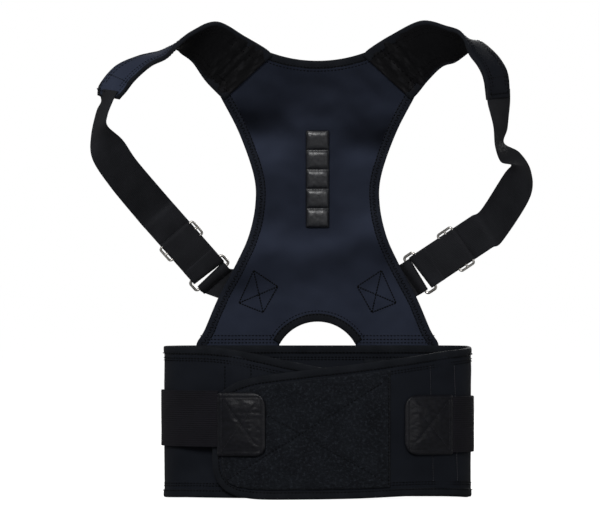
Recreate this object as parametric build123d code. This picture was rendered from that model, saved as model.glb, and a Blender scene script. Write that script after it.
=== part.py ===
"""Posture back brace: neoprene back panel, wrap-round waist belt and two adjustable shoulder straps.

Frame: millimetres, +Z up, the wearer's front towards -Y. The origin is the middle of the rear
belt's bottom edge, so the brace stands on its belt. Everything is drawn about the centre of the
waist opening and moved to that origin when it is written. Left and right are those of someone who
looks at the front of the brace. Fabric pieces are plain closed solids of the right size and place.
"""

import os
from math import asin, atan2, cos, degrees, radians, sin

from build123d import *

# ---------------------------------------------------------------- driving dimensions (mm)
HALF_WIDTH = 161.0  # belt, outer face at the side
REAR_Y = 52.0  # outer face of the flat rear panel
FRONT_Y = -52.0  # outer face of the inner front flap, at the middle
SIDE_R = 38.0  # plan radius where the belt turns to the front
REAR_BOTTOM, REAR_TOP = 0.0, 158.0
NEOPRENE = 4.0
BINDING = 6.0  # thickness of a bound edge
BINDING_W = 9.0
ELASTIC = 1.8
LIFT = 6.5  # how far the outer flap lies outside the inner one
LIFT_START, LIFT_LEN = 150.0, 110.0  # it moves out from this x towards the left, over this length

PANEL_Y = 55.0  # middle of the back panel's thickness, below PANEL_BEND_Z
PANEL_BEND_Z = 200.0  # above this the panel leans forward on an arc
PANEL_BEND_R = 1071.0
PANEL_BOTTOM = 160.5
ARCH_HALF, ARCH_TOP = 40.5, 184.5
NECK_Z = 457.5
SEAM_IN, SEAM_OUT = (52.0, 467.0), (102.0, 422.0)  # shoulder seam ends, x and z

MAGNET_R, MAGNET_T = 7.5, 2.5
MAGNET_PITCH = 20.6
MAGNET_COUNT = 5
STRIP_W, STRIP_T = 25.0, 4.2
STRIP_TOP = 386.0
STRIP_GAP = 1.5  # the strip is flat and the panel behind it curves

STAY_W, STAY_T, STAY_LEN = 12.0, 1.2, 122.0
STAY_END_R = 5.5
CHANNEL_W, CHANNEL_T, CHANNEL_LEN = 27.0, 4.0, 130.0
REAR_STAY_X, LEFT_STAY_X, RIGHT_STAY_X = 62.0, -83.0, 131.0
REAR_STAY_Z, LEFT_STAY_Z, RIGHT_STAY_Z = 79.0, 76.0, 80.0  # middles of the channels
CHANNEL_CORNER = 1.2
CHANNEL_CLEAR = 0.5

STRAP_W = 40.0
WIRE_R = 1.5  # rectangular rings
RING_LEN, RING_PITCH = 45.5, 12.5  # bar length and bar spacing, centre to centre
SLIDE_R = 1.3  # slide adjuster wire
SLIDE_PITCH = 9.0
SLIDE_AT = 54.0  # adjuster centre, along the strap from the ring's inner bar
PLY_GAP = 2.95  # half the space between the two plies of a doubled strap
STRAIGHT_END = 101.0  # the strap is straight from the ring to here
RETURN_LEN = 15.0
FOLD_T = 1.4  # elastic where it is folded tight round a bar
LOOP_FIT, WRAP_FIT = 0.4, 0.15  # clearance round the ring's bar and round the adjuster's bar
END_LEN = 22.0  # strap end, from the adjuster's last bar down over its other two
PAD_T = 5.0
WEBBING_LEN, WEBBING_T, WEBBING_GAP = 46.0, 2.4, 0.4  # anchor webbing on the panel's rear face
WEBBING_MID = (75.0, 216.0)
WEBBING_RISE = 17.0 / 33.0  # its slope, towards the ring

JOINT_GAP = 1.0  # each side of a fabric hinge line
CLOTH_GAP = 0.2  # between cloth layers sewn on each other
ROOT_LIFT, ROOT_GAP = 1.5, 8.0  # the pull strap's root: off the belt, and behind its hinge line
CLIMB, CLIMB_START, CLIMB_LEN = 7.9, -158.0, 46.0  # how the left pull strap rises onto the outer flap
SEAM_GAP = 0.3
TAB_T = 2.6
TAB_CORNER = 11.0
TAPE_T = 0.8  # hook tape
TAPE_CORNER = 6.0

SIDE_X = HALF_WIDTH - SIDE_R
SIDE_Y = REAR_Y - SIDE_R
_SPAN = SIDE_Y - FRONT_Y
FRONT_R = (SIDE_X**2 + _SPAN**2 - SIDE_R**2) / (2 * (_SPAN - SIDE_R))
FRONT_CY = FRONT_R + FRONT_Y
TURN = degrees(atan2(SIDE_X, FRONT_CY - SIDE_Y))  # where the front arc meets a side arc
TALL = 600.0


# ---------------------------------------------------------------- belt plan
def smooth(t):
    """0 to 1 with flat ends."""
    t = min(1.0, max(0.0, t))
    return t * t * (3 - 2 * t)


def plan(angle, offset=0.0):
    """A point of the belt's plan whose outward normal is at angle degrees from straight ahead."""
    a = radians(angle)
    if abs(angle) <= TURN:
        r = FRONT_R + offset
        return (r * sin(a), FRONT_CY - r * cos(a))
    side = SIDE_X if angle > 0 else -SIDE_X
    r = SIDE_R + offset
    return (side + r * sin(a), SIDE_Y - r * cos(a))


def front_angle(x):
    """The normal angle of the front point at x."""
    return degrees(asin(x / FRONT_R))


def outer_lift(x):
    """Outer face of the outer flap, measured out from the belt plan."""
    return LIFT * smooth((LIFT_START - x) / LIFT_LEN)


def left_strap_lift(x):
    """Inner face of the left pull strap: it climbs from the side onto the outer flap's end."""
    return ROOT_LIFT + CLIMB * smooth((x - CLIMB_START) / CLIMB_LEN)


def right_strap_lift(x):
    """Inner face of the right pull strap and tab."""
    return outer_lift(x) + ROOT_LIFT


def swept_band(angles, inner, outer, bottom=0.0, top=REAR_TOP + 10):
    """Solid between two offsets of the plan, through the given normal angles.

    inner and outer give the offset at a plan x. Angles run from one side to the other."""
    near = [plan(a, inner(plan(a)[0])) for a in angles]
    far = [plan(a, outer(plan(a)[0])) for a in angles]
    lines = [Spline(*near), Line(near[-1], far[-1]), Spline(*far), Line(far[0], near[0])]
    return extrude(make_face(lines), amount=top - bottom).moved(Location((0, 0, bottom)))


def fixed(value):
    return lambda x: value


def lowered(lift, value):
    return lambda x: lift(x) + value


def angle_steps(start, end, count):
    return [start + (end - start) * i / (count - 1) for i in range(count)]


SIDE_STEPS = angle_steps(90.0 - degrees(JOINT_GAP / SIDE_R), TURN, 5)
FRONT_STEPS = angle_steps(TURN, -TURN, 19)[1:]


def side_to_front(sign, x_end):
    """Normal angles from just ahead of the side hinge line to just past the front point at x_end.

    Every band uses the same angles, so bands that lie on each other stay parallel."""
    steps = SIDE_STEPS + FRONT_STEPS
    last = front_angle(x_end) * sign
    count = next(i for i, a in enumerate(steps) if a < last) + 1
    return [sign * a for a in steps[:count]]


def front_view(*edges):
    """Prism through the whole depth from a closed outline drawn in x and z."""
    face = make_face([Plane.XZ * e for e in edges])
    return extrude(face, amount=TALL, dir=(0, 1, 0), both=True)


def inset_prism(edges, by):
    """The same prism with its outline moved in by `by` on every side, its curves drawn as splines."""
    inner = offset(make_face([Plane.XZ * e for e in edges]), amount=-by)
    redrawn = []
    for edge in inner.wires()[0].edges():
        if edge.geom_type == GeomType.LINE:
            redrawn.append(edge)
        else:
            redrawn.append(Spline(*[edge @ (i / 12) for i in range(13)]))
    return extrude(make_face(redrawn), amount=TALL, dir=(0, 1, 0), both=True)


# ---------------------------------------------------------------- rear of the belt
def rear_section(inner, outer, bottom, top):
    """Flat rear with both side turns, between two offsets, stopping short of the side hinge lines."""
    stop = degrees(JOINT_GAP / SIDE_R)
    edges = []
    for off in (inner, outer):
        r = SIDE_R + off
        right_turn = CenterArc((SIDE_X, SIDE_Y), r, stop, 90 - stop)
        left_turn = CenterArc((-SIDE_X, SIDE_Y), r, 90, 90 - stop)
        edges += [right_turn, Line((SIDE_X, SIDE_Y + r), (-SIDE_X, SIDE_Y + r)), left_turn]
    edges.append(Line(edges[0] @ 0, edges[3] @ 0))
    edges.append(Line(edges[2] @ 1, edges[5] @ 1))
    return extrude(make_face(edges), amount=top - bottom).moved(Location((0, 0, bottom)))


def rear_belt():
    low, high = REAR_BOTTOM + BINDING_W, REAR_TOP - BINDING_W
    over = (BINDING - NEOPRENE) / 2
    return {
        "belt_rear": rear_section(-NEOPRENE, 0, low, high),
        "belt_rear_top_binding": rear_section(-NEOPRENE - over, over, high, REAR_TOP),
        "belt_rear_bottom_binding": rear_section(-NEOPRENE - over, over, REAR_BOTTOM, low),
    }


# ---------------------------------------------------------------- stays in sewn channels
def channel_and_stay(x, y, angle, mid_z):
    """A fabric sleeve with a spring stay in it, its outward normal at angle from straight ahead."""
    place = Location((x, y, mid_z), (0, 0, angle))
    pocket = Box(STAY_W + 2, STAY_T + 0.8, STAY_LEN + 3)
    sleeve = Box(CHANNEL_W, CHANNEL_T, CHANNEL_LEN)
    sleeve = fillet(sleeve.edges().filter_by(Axis.Z), CHANNEL_CORNER) - pocket
    stay = fillet(Box(STAY_W, STAY_T, STAY_LEN).edges().filter_by(Axis.Y), STAY_END_R)
    return sleeve.moved(place), stay.moved(place)


def stays():
    rear_y = REAR_Y - NEOPRENE - CHANNEL_CLEAR - CHANNEL_T / 2
    rear = [channel_and_stay(s * REAR_STAY_X, rear_y, 0, REAR_STAY_Z) for s in (-1, 1)]
    nodes = {
        "rear_stay_channels": Compound(children=[pair[0] for pair in rear]),
        "rear_stays": Compound(children=[pair[1] for pair in rear]),
    }
    for side, x, lift, mid_z in (
        ("left", LEFT_STAY_X, 0.0, LEFT_STAY_Z),
        ("right", RIGHT_STAY_X, outer_lift(RIGHT_STAY_X), RIGHT_STAY_Z),
    ):
        a = front_angle(x)
        # the belt curves here and the channel is flat, so it stands further off the cloth
        px, py = plan(a, lift - NEOPRENE - 4 * CHANNEL_CLEAR - CHANNEL_T / 2)
        nodes[f"{side}_stay_channel"], nodes[f"{side}_stay"] = channel_and_stay(px, py, a, mid_z)
    return nodes


# ---------------------------------------------------------------- front flaps
def flap_nodes(name, outline, angles, lift):
    """Flap body and its bound edge, cut from bands of the belt by the flap's front outline."""
    over = (BINDING - NEOPRENE) / 2
    whole = front_view(*outline)
    middle = inset_prism(outline, BINDING_W)
    body = swept_band(angles, lowered(lift, -NEOPRENE), lift, -5)
    border = swept_band(angles, lowered(lift, -NEOPRENE - over), lowered(lift, over), -5)
    return {name: body & middle, name + "_binding": border & (whole - middle)}


LOOP_END_X = 74.0  # right end of the outer flap's loop cloth
LOOP_MARGIN = 1.5  # from the loop cloth to the binding
BEYOND = 190.0  # flap outlines run this far, past the side, so no binding runs up the hinge line


def left_flap_outline():
    end_x, bottom, corner = 20.0, 2.0, 14.0
    end_top = 135.0
    top = Spline((-108, 158), (-73, 152), (-33, 143.5), (end_x - corner, end_top + 2))
    return [
        Line((-BEYOND, 158), (-108, 158)),
        top,
        ThreePointArc(top @ 1, (end_x - 3.5, end_top - 4), (end_x, end_top - corner)),
        Line((end_x, end_top - corner), (end_x, bottom + corner)),
        ThreePointArc((end_x, bottom + corner), (end_x - 4, bottom + 4), (end_x - corner, bottom)),
        Line((end_x - corner, bottom), (-BEYOND, bottom)),
        Line((-BEYOND, bottom), (-BEYOND, 158)),
    ]


def right_flap_outline():
    top = Spline((133, 153), (96, 147.5), (40, 140), (-3, 135), (-60, 127.5), (-84, 121))
    low = Spline((-96, 11), (-82, 3), (-60, 0.5), (-20, 1), (40, 2), (96, 4))
    return [
        Line((BEYOND, 153), top @ 0),
        top,
        ThreePointArc(top @ 1, (-98, 111), (-105, 94)),
        Line((-105, 94), (-107, 40)),
        ThreePointArc((-107, 40), (-105, 24), low @ 0),
        low,
        Line(low @ 1, (BEYOND, 5)),
        Line((BEYOND, 5), (BEYOND, 153)),
    ]


def patch(sign, x0, x1, z0, z1, lift, inner, outer, corner):
    """A thin rectangular patch lying on the front of the belt, with rounded corners."""
    far = x1 if sign < 0 else x0
    band = swept_band(side_to_front(sign, far), lowered(lift, inner), lowered(lift, outer), -5)
    shape = Plane.XZ * Pos((x0 + x1) / 2, (z0 + z1) / 2) * RectangleRounded(x1 - x0, z1 - z0, corner)
    return band & extrude(shape, amount=TALL, dir=(0, 1, 0), both=True)


def flaps():
    over = (BINDING - NEOPRENE) / 2
    top = over + CLOTH_GAP
    under = -NEOPRENE - CLOTH_GAP
    nodes = flap_nodes("left_flap", left_flap_outline(), side_to_front(-1, 34.0), fixed(0.0))
    nodes.update(flap_nodes("right_flap", right_flap_outline(), side_to_front(1, -118.0), outer_lift))
    nodes["left_loop_panel"] = patch(-1, -46, 9, 20, 122, fixed(0.0), CLOTH_GAP, top, TAPE_CORNER)
    loop_cloth = swept_band(
        side_to_front(1, -118.0), lowered(outer_lift, CLOTH_GAP), lowered(outer_lift, top), -5
    )
    left_of_end = Pos(LOOP_END_X - 200, 0, 80) * Box(400, TALL, 200)
    inside_binding = inset_prism(right_flap_outline(), BINDING_W + LOOP_MARGIN)
    nodes["right_loop_panel"] = loop_cloth & left_of_end & inside_binding
    hook = patch(1, -88, -50, 28, 102, outer_lift, under - TAPE_T, under, TAPE_CORNER)
    nodes["right_hook_patch"] = hook
    return nodes


# ---------------------------------------------------------------- side pull straps
def pull_strap_nodes(side, sign, lift, strap_z, tab_x, tab_z):
    """Elastic strap, the leatherette tab on its end, the hook patch under it and the sewn root."""
    tab_end = max(tab_x) if sign < 0 else min(tab_x)
    seam_x = (min(tab_x) if sign < 0 else max(tab_x)) + sign * SEAM_GAP
    band = swept_band(side_to_front(sign, tab_end), lift, lowered(lift, ELASTIC), *strap_z)
    beyond_seam = Pos(seam_x + sign * 100, 0, 80) * Box(200, TALL, 200)
    root = rear_section(ROOT_LIFT, ROOT_LIFT + ELASTIC, *strap_z)
    behind_hinge = Pos(sign * 150, SIDE_Y + ROOT_GAP + 100, 80) * Box(100, 200, 200)
    x0, x1 = tab_x
    z0, z1 = tab_z
    hook_face = (x0 + 5, x1 - 5, z0 + 6, z1 - 6)
    hook = patch(sign, *hook_face, lift, -CLOTH_GAP - TAPE_T, -CLOTH_GAP, TAPE_CORNER)
    return {
        f"{side}_pull_strap_root": root & behind_hinge,
        f"{side}_pull_strap": band & beyond_seam,
        f"{side}_pull_tab": patch(sign, x0, x1, z0, z1, lift, 0, TAB_T, TAB_CORNER),
        f"{side}_tab_hook": hook,
    }


def pull_straps():
    left = pull_strap_nodes("left", -1, left_strap_lift, (54.5, 113.0), (-101.5, -52.5), (45.0, 111.5))
    right = pull_strap_nodes("right", 1, right_strap_lift, (48.0, 106.5), (88.5, 140.0), (46.0, 108.5))
    return {**left, **right}


# ---------------------------------------------------------------- back panel
def panel_y(z):
    """Middle of the back panel's thickness at height z."""
    return PANEL_Y - max(0.0, z - PANEL_BEND_Z) ** 2 / (2 * PANEL_BEND_R)


def panel_slab(half_thickness, shift=0.0):
    """The panel's curved sheet, far wider than the panel, to be cut by its front outline."""
    heights = (PANEL_BEND_Z, 290.0, 380.0, 470.0, 520.0)
    edges = []
    for d in (shift - half_thickness, shift + half_thickness):
        points = [(panel_y(z) + d, z) for z in heights]
        edges.append(Line((PANEL_Y + d, 100), points[0]))
        edges.append(Spline(*points, tangents=[(0, 1), (-0.285, 0.958)]))
    edges.append(Line(edges[0] @ 0, edges[2] @ 0))
    edges.append(Line(edges[1] @ 1, edges[3] @ 1))
    return extrude(make_face([Plane.YZ * e for e in edges]), amount=150, both=True)


def panel_outline():
    """Front outline of the back panel: waist seam, arch, flared sides, shoulder seams and neck."""
    side = [(127, PANEL_BOTTOM), (119, 174), (104, 209), (85, 245), (72, 274), (65, 307),
            (66.5, 338), (82, 383), SEAM_OUT]
    right = Spline(*side)
    left = Spline(*[(-x, z) for x, z in side])
    return [
        Line((ARCH_HALF, PANEL_BOTTOM), side[0]),
        right,
        Line(SEAM_OUT, SEAM_IN),
        ThreePointArc(SEAM_IN, (0, NECK_Z), (-SEAM_IN[0], SEAM_IN[1])),
        Line((-SEAM_IN[0], SEAM_IN[1]), (-SEAM_OUT[0], SEAM_OUT[1])),
        left,
        Line((-127, PANEL_BOTTOM), (-ARCH_HALF, PANEL_BOTTOM)),
        ThreePointArc((-ARCH_HALF, PANEL_BOTTOM), (0, ARCH_TOP), (ARCH_HALF, PANEL_BOTTOM)),
    ]


def back_panel():
    edges = panel_outline()
    whole, middle = front_view(*edges), inset_prism(edges, BINDING_W)
    return {
        "back_panel": panel_slab(NEOPRENE / 2) & middle,
        "back_panel_binding": panel_slab(BINDING / 2) & (whole - middle),
    }


def magnets():
    """Five disc magnets under a quilted cover strip on the panel's inner face."""
    cover_len = MAGNET_PITCH * MAGNET_COUNT
    mid_z = STRIP_TOP - cover_len / 2
    lean = degrees(atan2(panel_y(STRIP_TOP - cover_len) - panel_y(STRIP_TOP), cover_len))
    face_y = panel_y(mid_z) - NEOPRENE / 2 - STRIP_GAP
    place = Location((0, face_y - STRIP_T / 2, mid_z), (lean, 0, 0))
    cells = [(i - (MAGNET_COUNT - 1) / 2) * MAGNET_PITCH for i in range(MAGNET_COUNT)]
    cover = fillet(Box(STRIP_W, STRIP_T, cover_len).edges().filter_by(Axis.Y), 2)
    discs = []
    for z in cells:
        recess_y = (STRIP_T - MAGNET_T) / 2
        cover -= Pos(0, recess_y, z) * Cylinder(MAGNET_R + 0.3, MAGNET_T, rotation=(90, 0, 0))
        discs.append(Pos(0, recess_y, z) * Cylinder(MAGNET_R, MAGNET_T - 0.3, rotation=(90, 0, 0)))
    return {
        "magnet_strip": cover.moved(place),
        "magnets": Compound(children=[d.moved(place) for d in discs]),
    }


# ---------------------------------------------------------------- shoulder straps
def ribbon(stations, thick, end_along=None):
    """A strap of constant thickness through pairs of edge points."""
    mids = [(Vector(*a) + Vector(*b)) * 0.5 for a, b in stations]
    corners = [[], [], [], []]
    for i, (a, b) in enumerate(stations):
        along = mids[min(i + 1, len(mids) - 1)] - mids[max(i - 1, 0)]
        if end_along and i == len(stations) - 1:
            along = end_along
        a, b = Vector(*a), Vector(*b)
        half = along.cross(b - a).normalized() * (thick / 2)
        for track, corner in zip(corners, (a + half, b + half, b - half, a - half)):
            track.append(corner)
    tracks = []
    for track in corners:
        last = end_along or track[-1] - track[-2]
        tracks.append(Spline(*track, tangents=[track[1] - track[0], last]))
    faces = []
    for i in range(4):
        faces.append(Face.make_surface_from_curves(tracks[i], tracks[(i + 1) % 4]))
    for end in (0, -1):
        faces.append(make_face(Polyline(*[track[end] for track in corners], close=True)).face())
    return Solid(Shell(faces))


# Strap edges at each station, from the shoulder seam: neck-side edge, then arm-side edge.
LEFT_PAD = [
    ((-54.5, 20.0, 469.5), (-104.0, 31.0, 424.5)),
    ((-76.0, 10.0, 482.0), (-118.0, 24.0, 439.0)),
    ((-105.0, -8.0, 497.0), (-131.0, 12.0, 457.0)),
    ((-130.0, -26.0, 486.5), (-143.0, 4.0, 466.0)),
    ((-146.0, -38.0, 473.0), (-151.0, -4.0, 471.0)),
    ((-158.0, -46.0, 460.0), (-166.0, -12.0, 465.5)),
    ((-174.0, -52.0, 451.5), (-187.0, -18.0, 460.5)),
    ((-190.0, -57.0, 437.0), (-210.0, -26.0, 450.0)),
    ((-200.0, -60.0, 424.0), (-226.0, -34.0, 431.0)),
]
LEFT_ELASTIC = [
    ((-213.0, -64.5, 413.0), (-231.0, -30.0, 417.0)),
    ((-219.0, -66.0, 402.0), (-233.0, -30.0, 404.0)),
    ((-218.0, -66.0, 388.0), (-236.0, -31.0, 378.0)),
    ((-203.0, -50.0, 374.0), (-234.5, -38.0, 354.0)),
    ((-188.0, -28.0, 352.0), (-217.0, -24.0, 326.0)),
]
RIGHT_PAD = [
    ((54.5, 20.0, 469.5), (104.0, 31.0, 424.5)),
    ((77.0, 10.0, 483.5), (116.0, 24.0, 439.0)),
    ((108.5, -8.0, 498.0), (131.0, 12.0, 453.0)),
    ((135.0, -16.0, 492.0), (145.0, 8.0, 457.5)),
    ((148.0, -30.0, 486.0), (157.0, -2.0, 466.0)),
    ((154.0, -42.0, 475.0), (168.0, -10.0, 476.0)),
    ((158.5, -50.0, 463.0), (181.0, -20.0, 467.0)),
    ((167.0, -56.0, 451.0), (191.0, -28.0, 455.0)),
    ((172.5, -60.0, 437.0), (198.0, -34.0, 441.0)),
    ((174.5, -62.0, 415.0), (201.0, -38.0, 418.0)),
]
RIGHT_ELASTIC = [
    ((197.0, -36.0, 405.0), (176.5, -68.0, 402.0)),
    ((195.0, -32.0, 386.0), (180.5, -68.0, 386.0)),
    ((194.0, -26.0, 371.0), (184.5, -63.0, 366.0)),
    ((211.0, -14.0, 361.0), (190.0, -46.0, 351.0)),
    ((223.0, -8.0, 341.0), (202.0, -38.0, 348.0)),
    ((222.0, -10.0, 314.0), (194.0, -20.0, 338.0)),
]
RING_AT = {"left": (-110.5, 52.0, 231.0), "right": (103.5, 52.0, 232.0)}  # inner bar centre
STRAP_UP = {"left": (-0.61, -0.37, 0.70), "right": (0.78, -0.34, 0.524)}


def strap_frame(side):
    """Plane at the ring's inner bar: x along the strap, y across it, z towards the front."""
    up = Vector(*STRAP_UP[side]).normalized()
    across = Vector(up.Z, 0, -up.X).normalized()
    facing = up.cross(across)
    if facing.Y > 0:
        across, facing = -across, -facing
    return Plane(origin=RING_AT[side], x_dir=up, z_dir=facing)


def section_across(frame, outline_faces, width):
    """Extrudes a section drawn along and through the strap over the strap's width."""
    tool = Plane(origin=frame.origin, x_dir=frame.x_dir, z_dir=-frame.y_dir)
    return extrude(tool * outline_faces, amount=width / 2, both=True)


def rounded_frame(frame, length, pitch, radius, at, bars):
    """Wire frame across the strap: `bars` parallel bars `pitch` apart, joined at both ends."""
    total = pitch * (bars - 1)
    corner = 2 * radius
    outline = Pos(at + total / 2, 0) * RectangleRounded(total, length, corner)
    path = frame * outline.wire()
    start = path @ 0
    profile = Plane(origin=start, z_dir=path % 0) * Circle(radius)
    wire = sweep(profile, path=path)
    for i in range(1, bars - 1):
        bar = Plane(origin=frame.from_local_coords((at + i * pitch, 0, 0)), z_dir=frame.y_dir)
        wire += extrude(bar * Circle(radius), amount=length / 2, both=True)
    return wire


def straight_run(frame):
    """The straight lower strap, turned round the ring's outer bar, with the start of the return ply."""
    outer = PLY_GAP + ELASTIC
    turn = Pos(RING_PITCH, 0) * (Circle(outer) - Circle(PLY_GAP))
    turn -= Pos(RING_PITCH + outer, 0) * Rectangle(2 * outer, 3 * outer)
    ply_mid = PLY_GAP + ELASTIC / 2
    length = STRAIGHT_END - RING_PITCH
    main = Pos(RING_PITCH + length / 2, -ply_mid) * Rectangle(length, ELASTIC)
    back = Pos(RING_PITCH + RETURN_LEN / 2, ply_mid) * Rectangle(RETURN_LEN, ELASTIC)
    return section_across(frame, turn + main + back, STRAP_W)


def strap_nodes(side, pad, elastic):
    frame = strap_frame(side)
    ply = -(PLY_GAP + ELASTIC / 2)
    ends = [frame.from_local_coords((STRAIGHT_END, s * STRAP_W / 2, ply)) for s in (-1, 1)]
    ends.sort(key=lambda p: (p - Vector(*elastic[-1][0])).length)
    last = tuple(tuple(p) for p in ends)
    curved = ribbon(elastic + [last], ELASTIC, end_along=-frame.x_dir)
    loop_r = WIRE_R + LOOP_FIT
    sleeve = Circle(loop_r + FOLD_T) - Circle(loop_r)
    tail = Pos(-loop_r - FOLD_T - 0.9, 0) * Rectangle(2.6, 2 * FOLD_T)
    wrap_r = SLIDE_R + WRAP_FIT
    first_bar, last_bar = SLIDE_AT - SLIDE_PITCH, SLIDE_AT + SLIDE_PITCH
    end_wrap = Pos(last_bar, 0) * (Circle(wrap_r + FOLD_T) - Circle(wrap_r))
    end_tail = Pos(last_bar - END_LEN / 2, wrap_r + FOLD_T / 2) * Rectangle(END_LEN, FOLD_T)
    end_tail -= Pos(last_bar, 0) * Circle(wrap_r)
    return {
        f"{side}_shoulder_pad": ribbon(pad, PAD_T),
        f"{side}_elastic_strap": curved + straight_run(frame),
        f"{side}_anchor_loop": section_across(frame, sleeve + tail, STRAP_W),
        f"{side}_ring": rounded_frame(frame, RING_LEN, RING_PITCH, WIRE_R, 0.0, 2),
        f"{side}_slide": rounded_frame(frame, RING_LEN, SLIDE_PITCH, SLIDE_R, first_bar, 3),
        f"{side}_strap_end": section_across(frame, end_wrap + end_tail, STRAP_W - 1),
    }


def anchor_webbing(side):
    """Webbing sewn on the panel's rear face, from the stitched box to the panel's edge."""
    sign = 1 if side == "right" else -1
    angle = degrees(atan2(WEBBING_RISE, sign))
    x, z = WEBBING_MID
    y = PANEL_Y + BINDING / 2 + WEBBING_GAP + WEBBING_T / 2
    return Box(WEBBING_LEN, WEBBING_T, STRAP_W).moved(Location((sign * x, y, z), (0, -angle, 0)))


# ---------------------------------------------------------------- output
def build():
    nodes = {}
    nodes.update(rear_belt())
    nodes.update(stays())
    nodes.update(flaps())
    nodes.update(pull_straps())
    nodes.update(back_panel())
    nodes.update(magnets())
    nodes.update(strap_nodes("left", LEFT_PAD, LEFT_ELASTIC))
    nodes.update(strap_nodes("right", RIGHT_PAD, RIGHT_ELASTIC))
    for side in ("left", "right"):
        nodes[f"{side}_anchor_webbing"] = anchor_webbing(side)
    return nodes


def solids_only(shape):
    """The shape's solids, on their own or as one flat compound."""
    solids = shape.solids()
    return solids[0] if len(solids) == 1 else Compound(children=list(solids))


TO_ORIGIN = Location((0, NEOPRENE / 2 - REAR_Y, -REAR_BOTTOM))

os.makedirs("parts", exist_ok=True)
for node, shape in build().items():
    export_step(solids_only(shape).moved(TO_ORIGIN), f"parts/{node}.step")
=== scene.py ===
import math
from bisect import bisect_left

import bmesh
import bpy
import numpy as np
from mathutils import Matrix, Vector, noise
from mathutils.geometry import delaunay_2d_cdt


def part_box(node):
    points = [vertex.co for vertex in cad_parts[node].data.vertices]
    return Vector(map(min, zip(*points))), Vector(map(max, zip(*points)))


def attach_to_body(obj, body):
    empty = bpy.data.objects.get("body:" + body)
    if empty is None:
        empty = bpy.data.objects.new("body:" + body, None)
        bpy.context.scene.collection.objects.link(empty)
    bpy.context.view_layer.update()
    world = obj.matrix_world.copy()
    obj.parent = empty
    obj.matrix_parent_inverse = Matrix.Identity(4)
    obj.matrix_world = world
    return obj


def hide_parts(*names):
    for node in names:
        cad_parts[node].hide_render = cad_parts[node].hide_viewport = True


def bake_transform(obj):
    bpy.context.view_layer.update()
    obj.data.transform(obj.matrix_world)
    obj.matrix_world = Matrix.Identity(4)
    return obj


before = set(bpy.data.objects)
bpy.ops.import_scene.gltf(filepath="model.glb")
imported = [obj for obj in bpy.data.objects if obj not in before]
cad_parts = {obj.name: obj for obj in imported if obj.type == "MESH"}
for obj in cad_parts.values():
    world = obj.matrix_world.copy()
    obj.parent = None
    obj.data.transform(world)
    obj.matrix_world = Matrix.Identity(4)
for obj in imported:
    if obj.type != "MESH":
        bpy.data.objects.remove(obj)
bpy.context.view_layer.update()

# Lengths below are millimetres in the frame of the CAD model; meshes are written in metres.
MM = 0.001

# ---------- sizes taken from the frame
HALF_WIDTH, REAR_OUT = (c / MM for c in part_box("belt_rear")[1][:2])
BELT_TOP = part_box("belt_rear_top_binding")[1][2] / MM
FRONT_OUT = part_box("left_flap")[0][1] / MM

# ---------- belt plan
THICK = 4.0  # of the neoprene
SIDE_R = 38.0  # of the turn from the rear to the front
SIDE_X = HALF_WIDTH - SIDE_R
SIDE_Y = REAR_OUT - SIDE_R
SPAN = SIDE_Y - FRONT_OUT
FRONT_R = (SIDE_X**2 + SPAN**2 - SIDE_R**2) / (2 * (SPAN - SIDE_R))
FRONT_CY = FRONT_R + FRONT_OUT
TURN = math.atan2(SIDE_X, FRONT_CY - SIDE_Y)
FRONT_LEN = FRONT_R * TURN
SIDE_LEN = SIDE_R * (math.pi - TURN)
HALF_LOOP = FRONT_LEN + SIDE_LEN + SIDE_X
SEAM_S = FRONT_LEN + SIDE_R * (math.radians(112) - TURN)
OUTER_LIFT = 6.5  # of the outer flap, where it lies over the inner one
CLOTH_FACES = ((0.35, 1), (-THICK - 0.35, -1))  # where stitches lie, outside and inside
ON_TAPE, BESIDE_TAPE = 6.6, (11.5, 14.0)  # rows of stitches, from the belt's edges
SLEEVE_HALF = 13.5  # of the tape over each stay
LEFT_STAY_X, RIGHT_STAY_X, REAR_STAY_X = -83.0, 131.0, 62.0
REAR_STAYS = (HALF_LOOP + REAR_STAY_X, HALF_LOOP - REAR_STAY_X)
PULL_SEWN_X = 101.0  # where the pull straps are sewn to the belt's rear


# ---------- small helpers
def smooth(t):
    t = min(1.0, max(0.0, t))
    return t * t * (3 - 2 * t)


def lerp(a, b, t):
    return a + (b - a) * t


def bell(distance, width, power=2):
    """1 at distance 0, falling off over about a width."""
    return math.exp(-(distance / width) ** power)


def wobble(x, y, z, scale, seed=0.0):
    """Smooth noise between about -1 and 1; scale is its feature size in mm."""
    return noise.noise(Vector((x / scale + seed, y / scale, z / scale)))


def curve(points, step=3.0):
    """Catmull-Rom curve through the points, resampled to about `step`."""
    pts = [Vector(p) for p in points]
    pts = [pts[0] * 2 - pts[1]] + pts + [pts[-1] * 2 - pts[-2]]
    out = []
    for i in range(1, len(pts) - 2):
        p0, p1, p2, p3 = pts[i - 1:i + 3]
        count = max(2, int((p2 - p1).length / step))
        for k in range(count):
            t = k / count
            out.append(0.5 * ((2 * p1) + (p2 - p0) * t + (2 * p0 - 5 * p1 + 4 * p2 - p3) * t * t
                              + (3 * p1 - p0 - 3 * p2 + p3) * t * t * t))
    out.append(pts[-2].copy())
    return out


def resample(points, step):
    """Points at even spacing along a polyline, ends kept."""
    pts = [Vector(p) for p in points]
    run = [0.0]
    for a, b in zip(pts, pts[1:]):
        run.append(run[-1] + (b - a).length)
    count = max(2, round(run[-1] / step))
    out, j = [], 0
    for k in range(count + 1):
        d = run[-1] * k / count
        while j < len(run) - 2 and run[j + 1] < d:
            j += 1
        span = run[j + 1] - run[j] or 1.0
        out.append(pts[j].lerp(pts[j + 1], (d - run[j]) / span))
    return out


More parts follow.
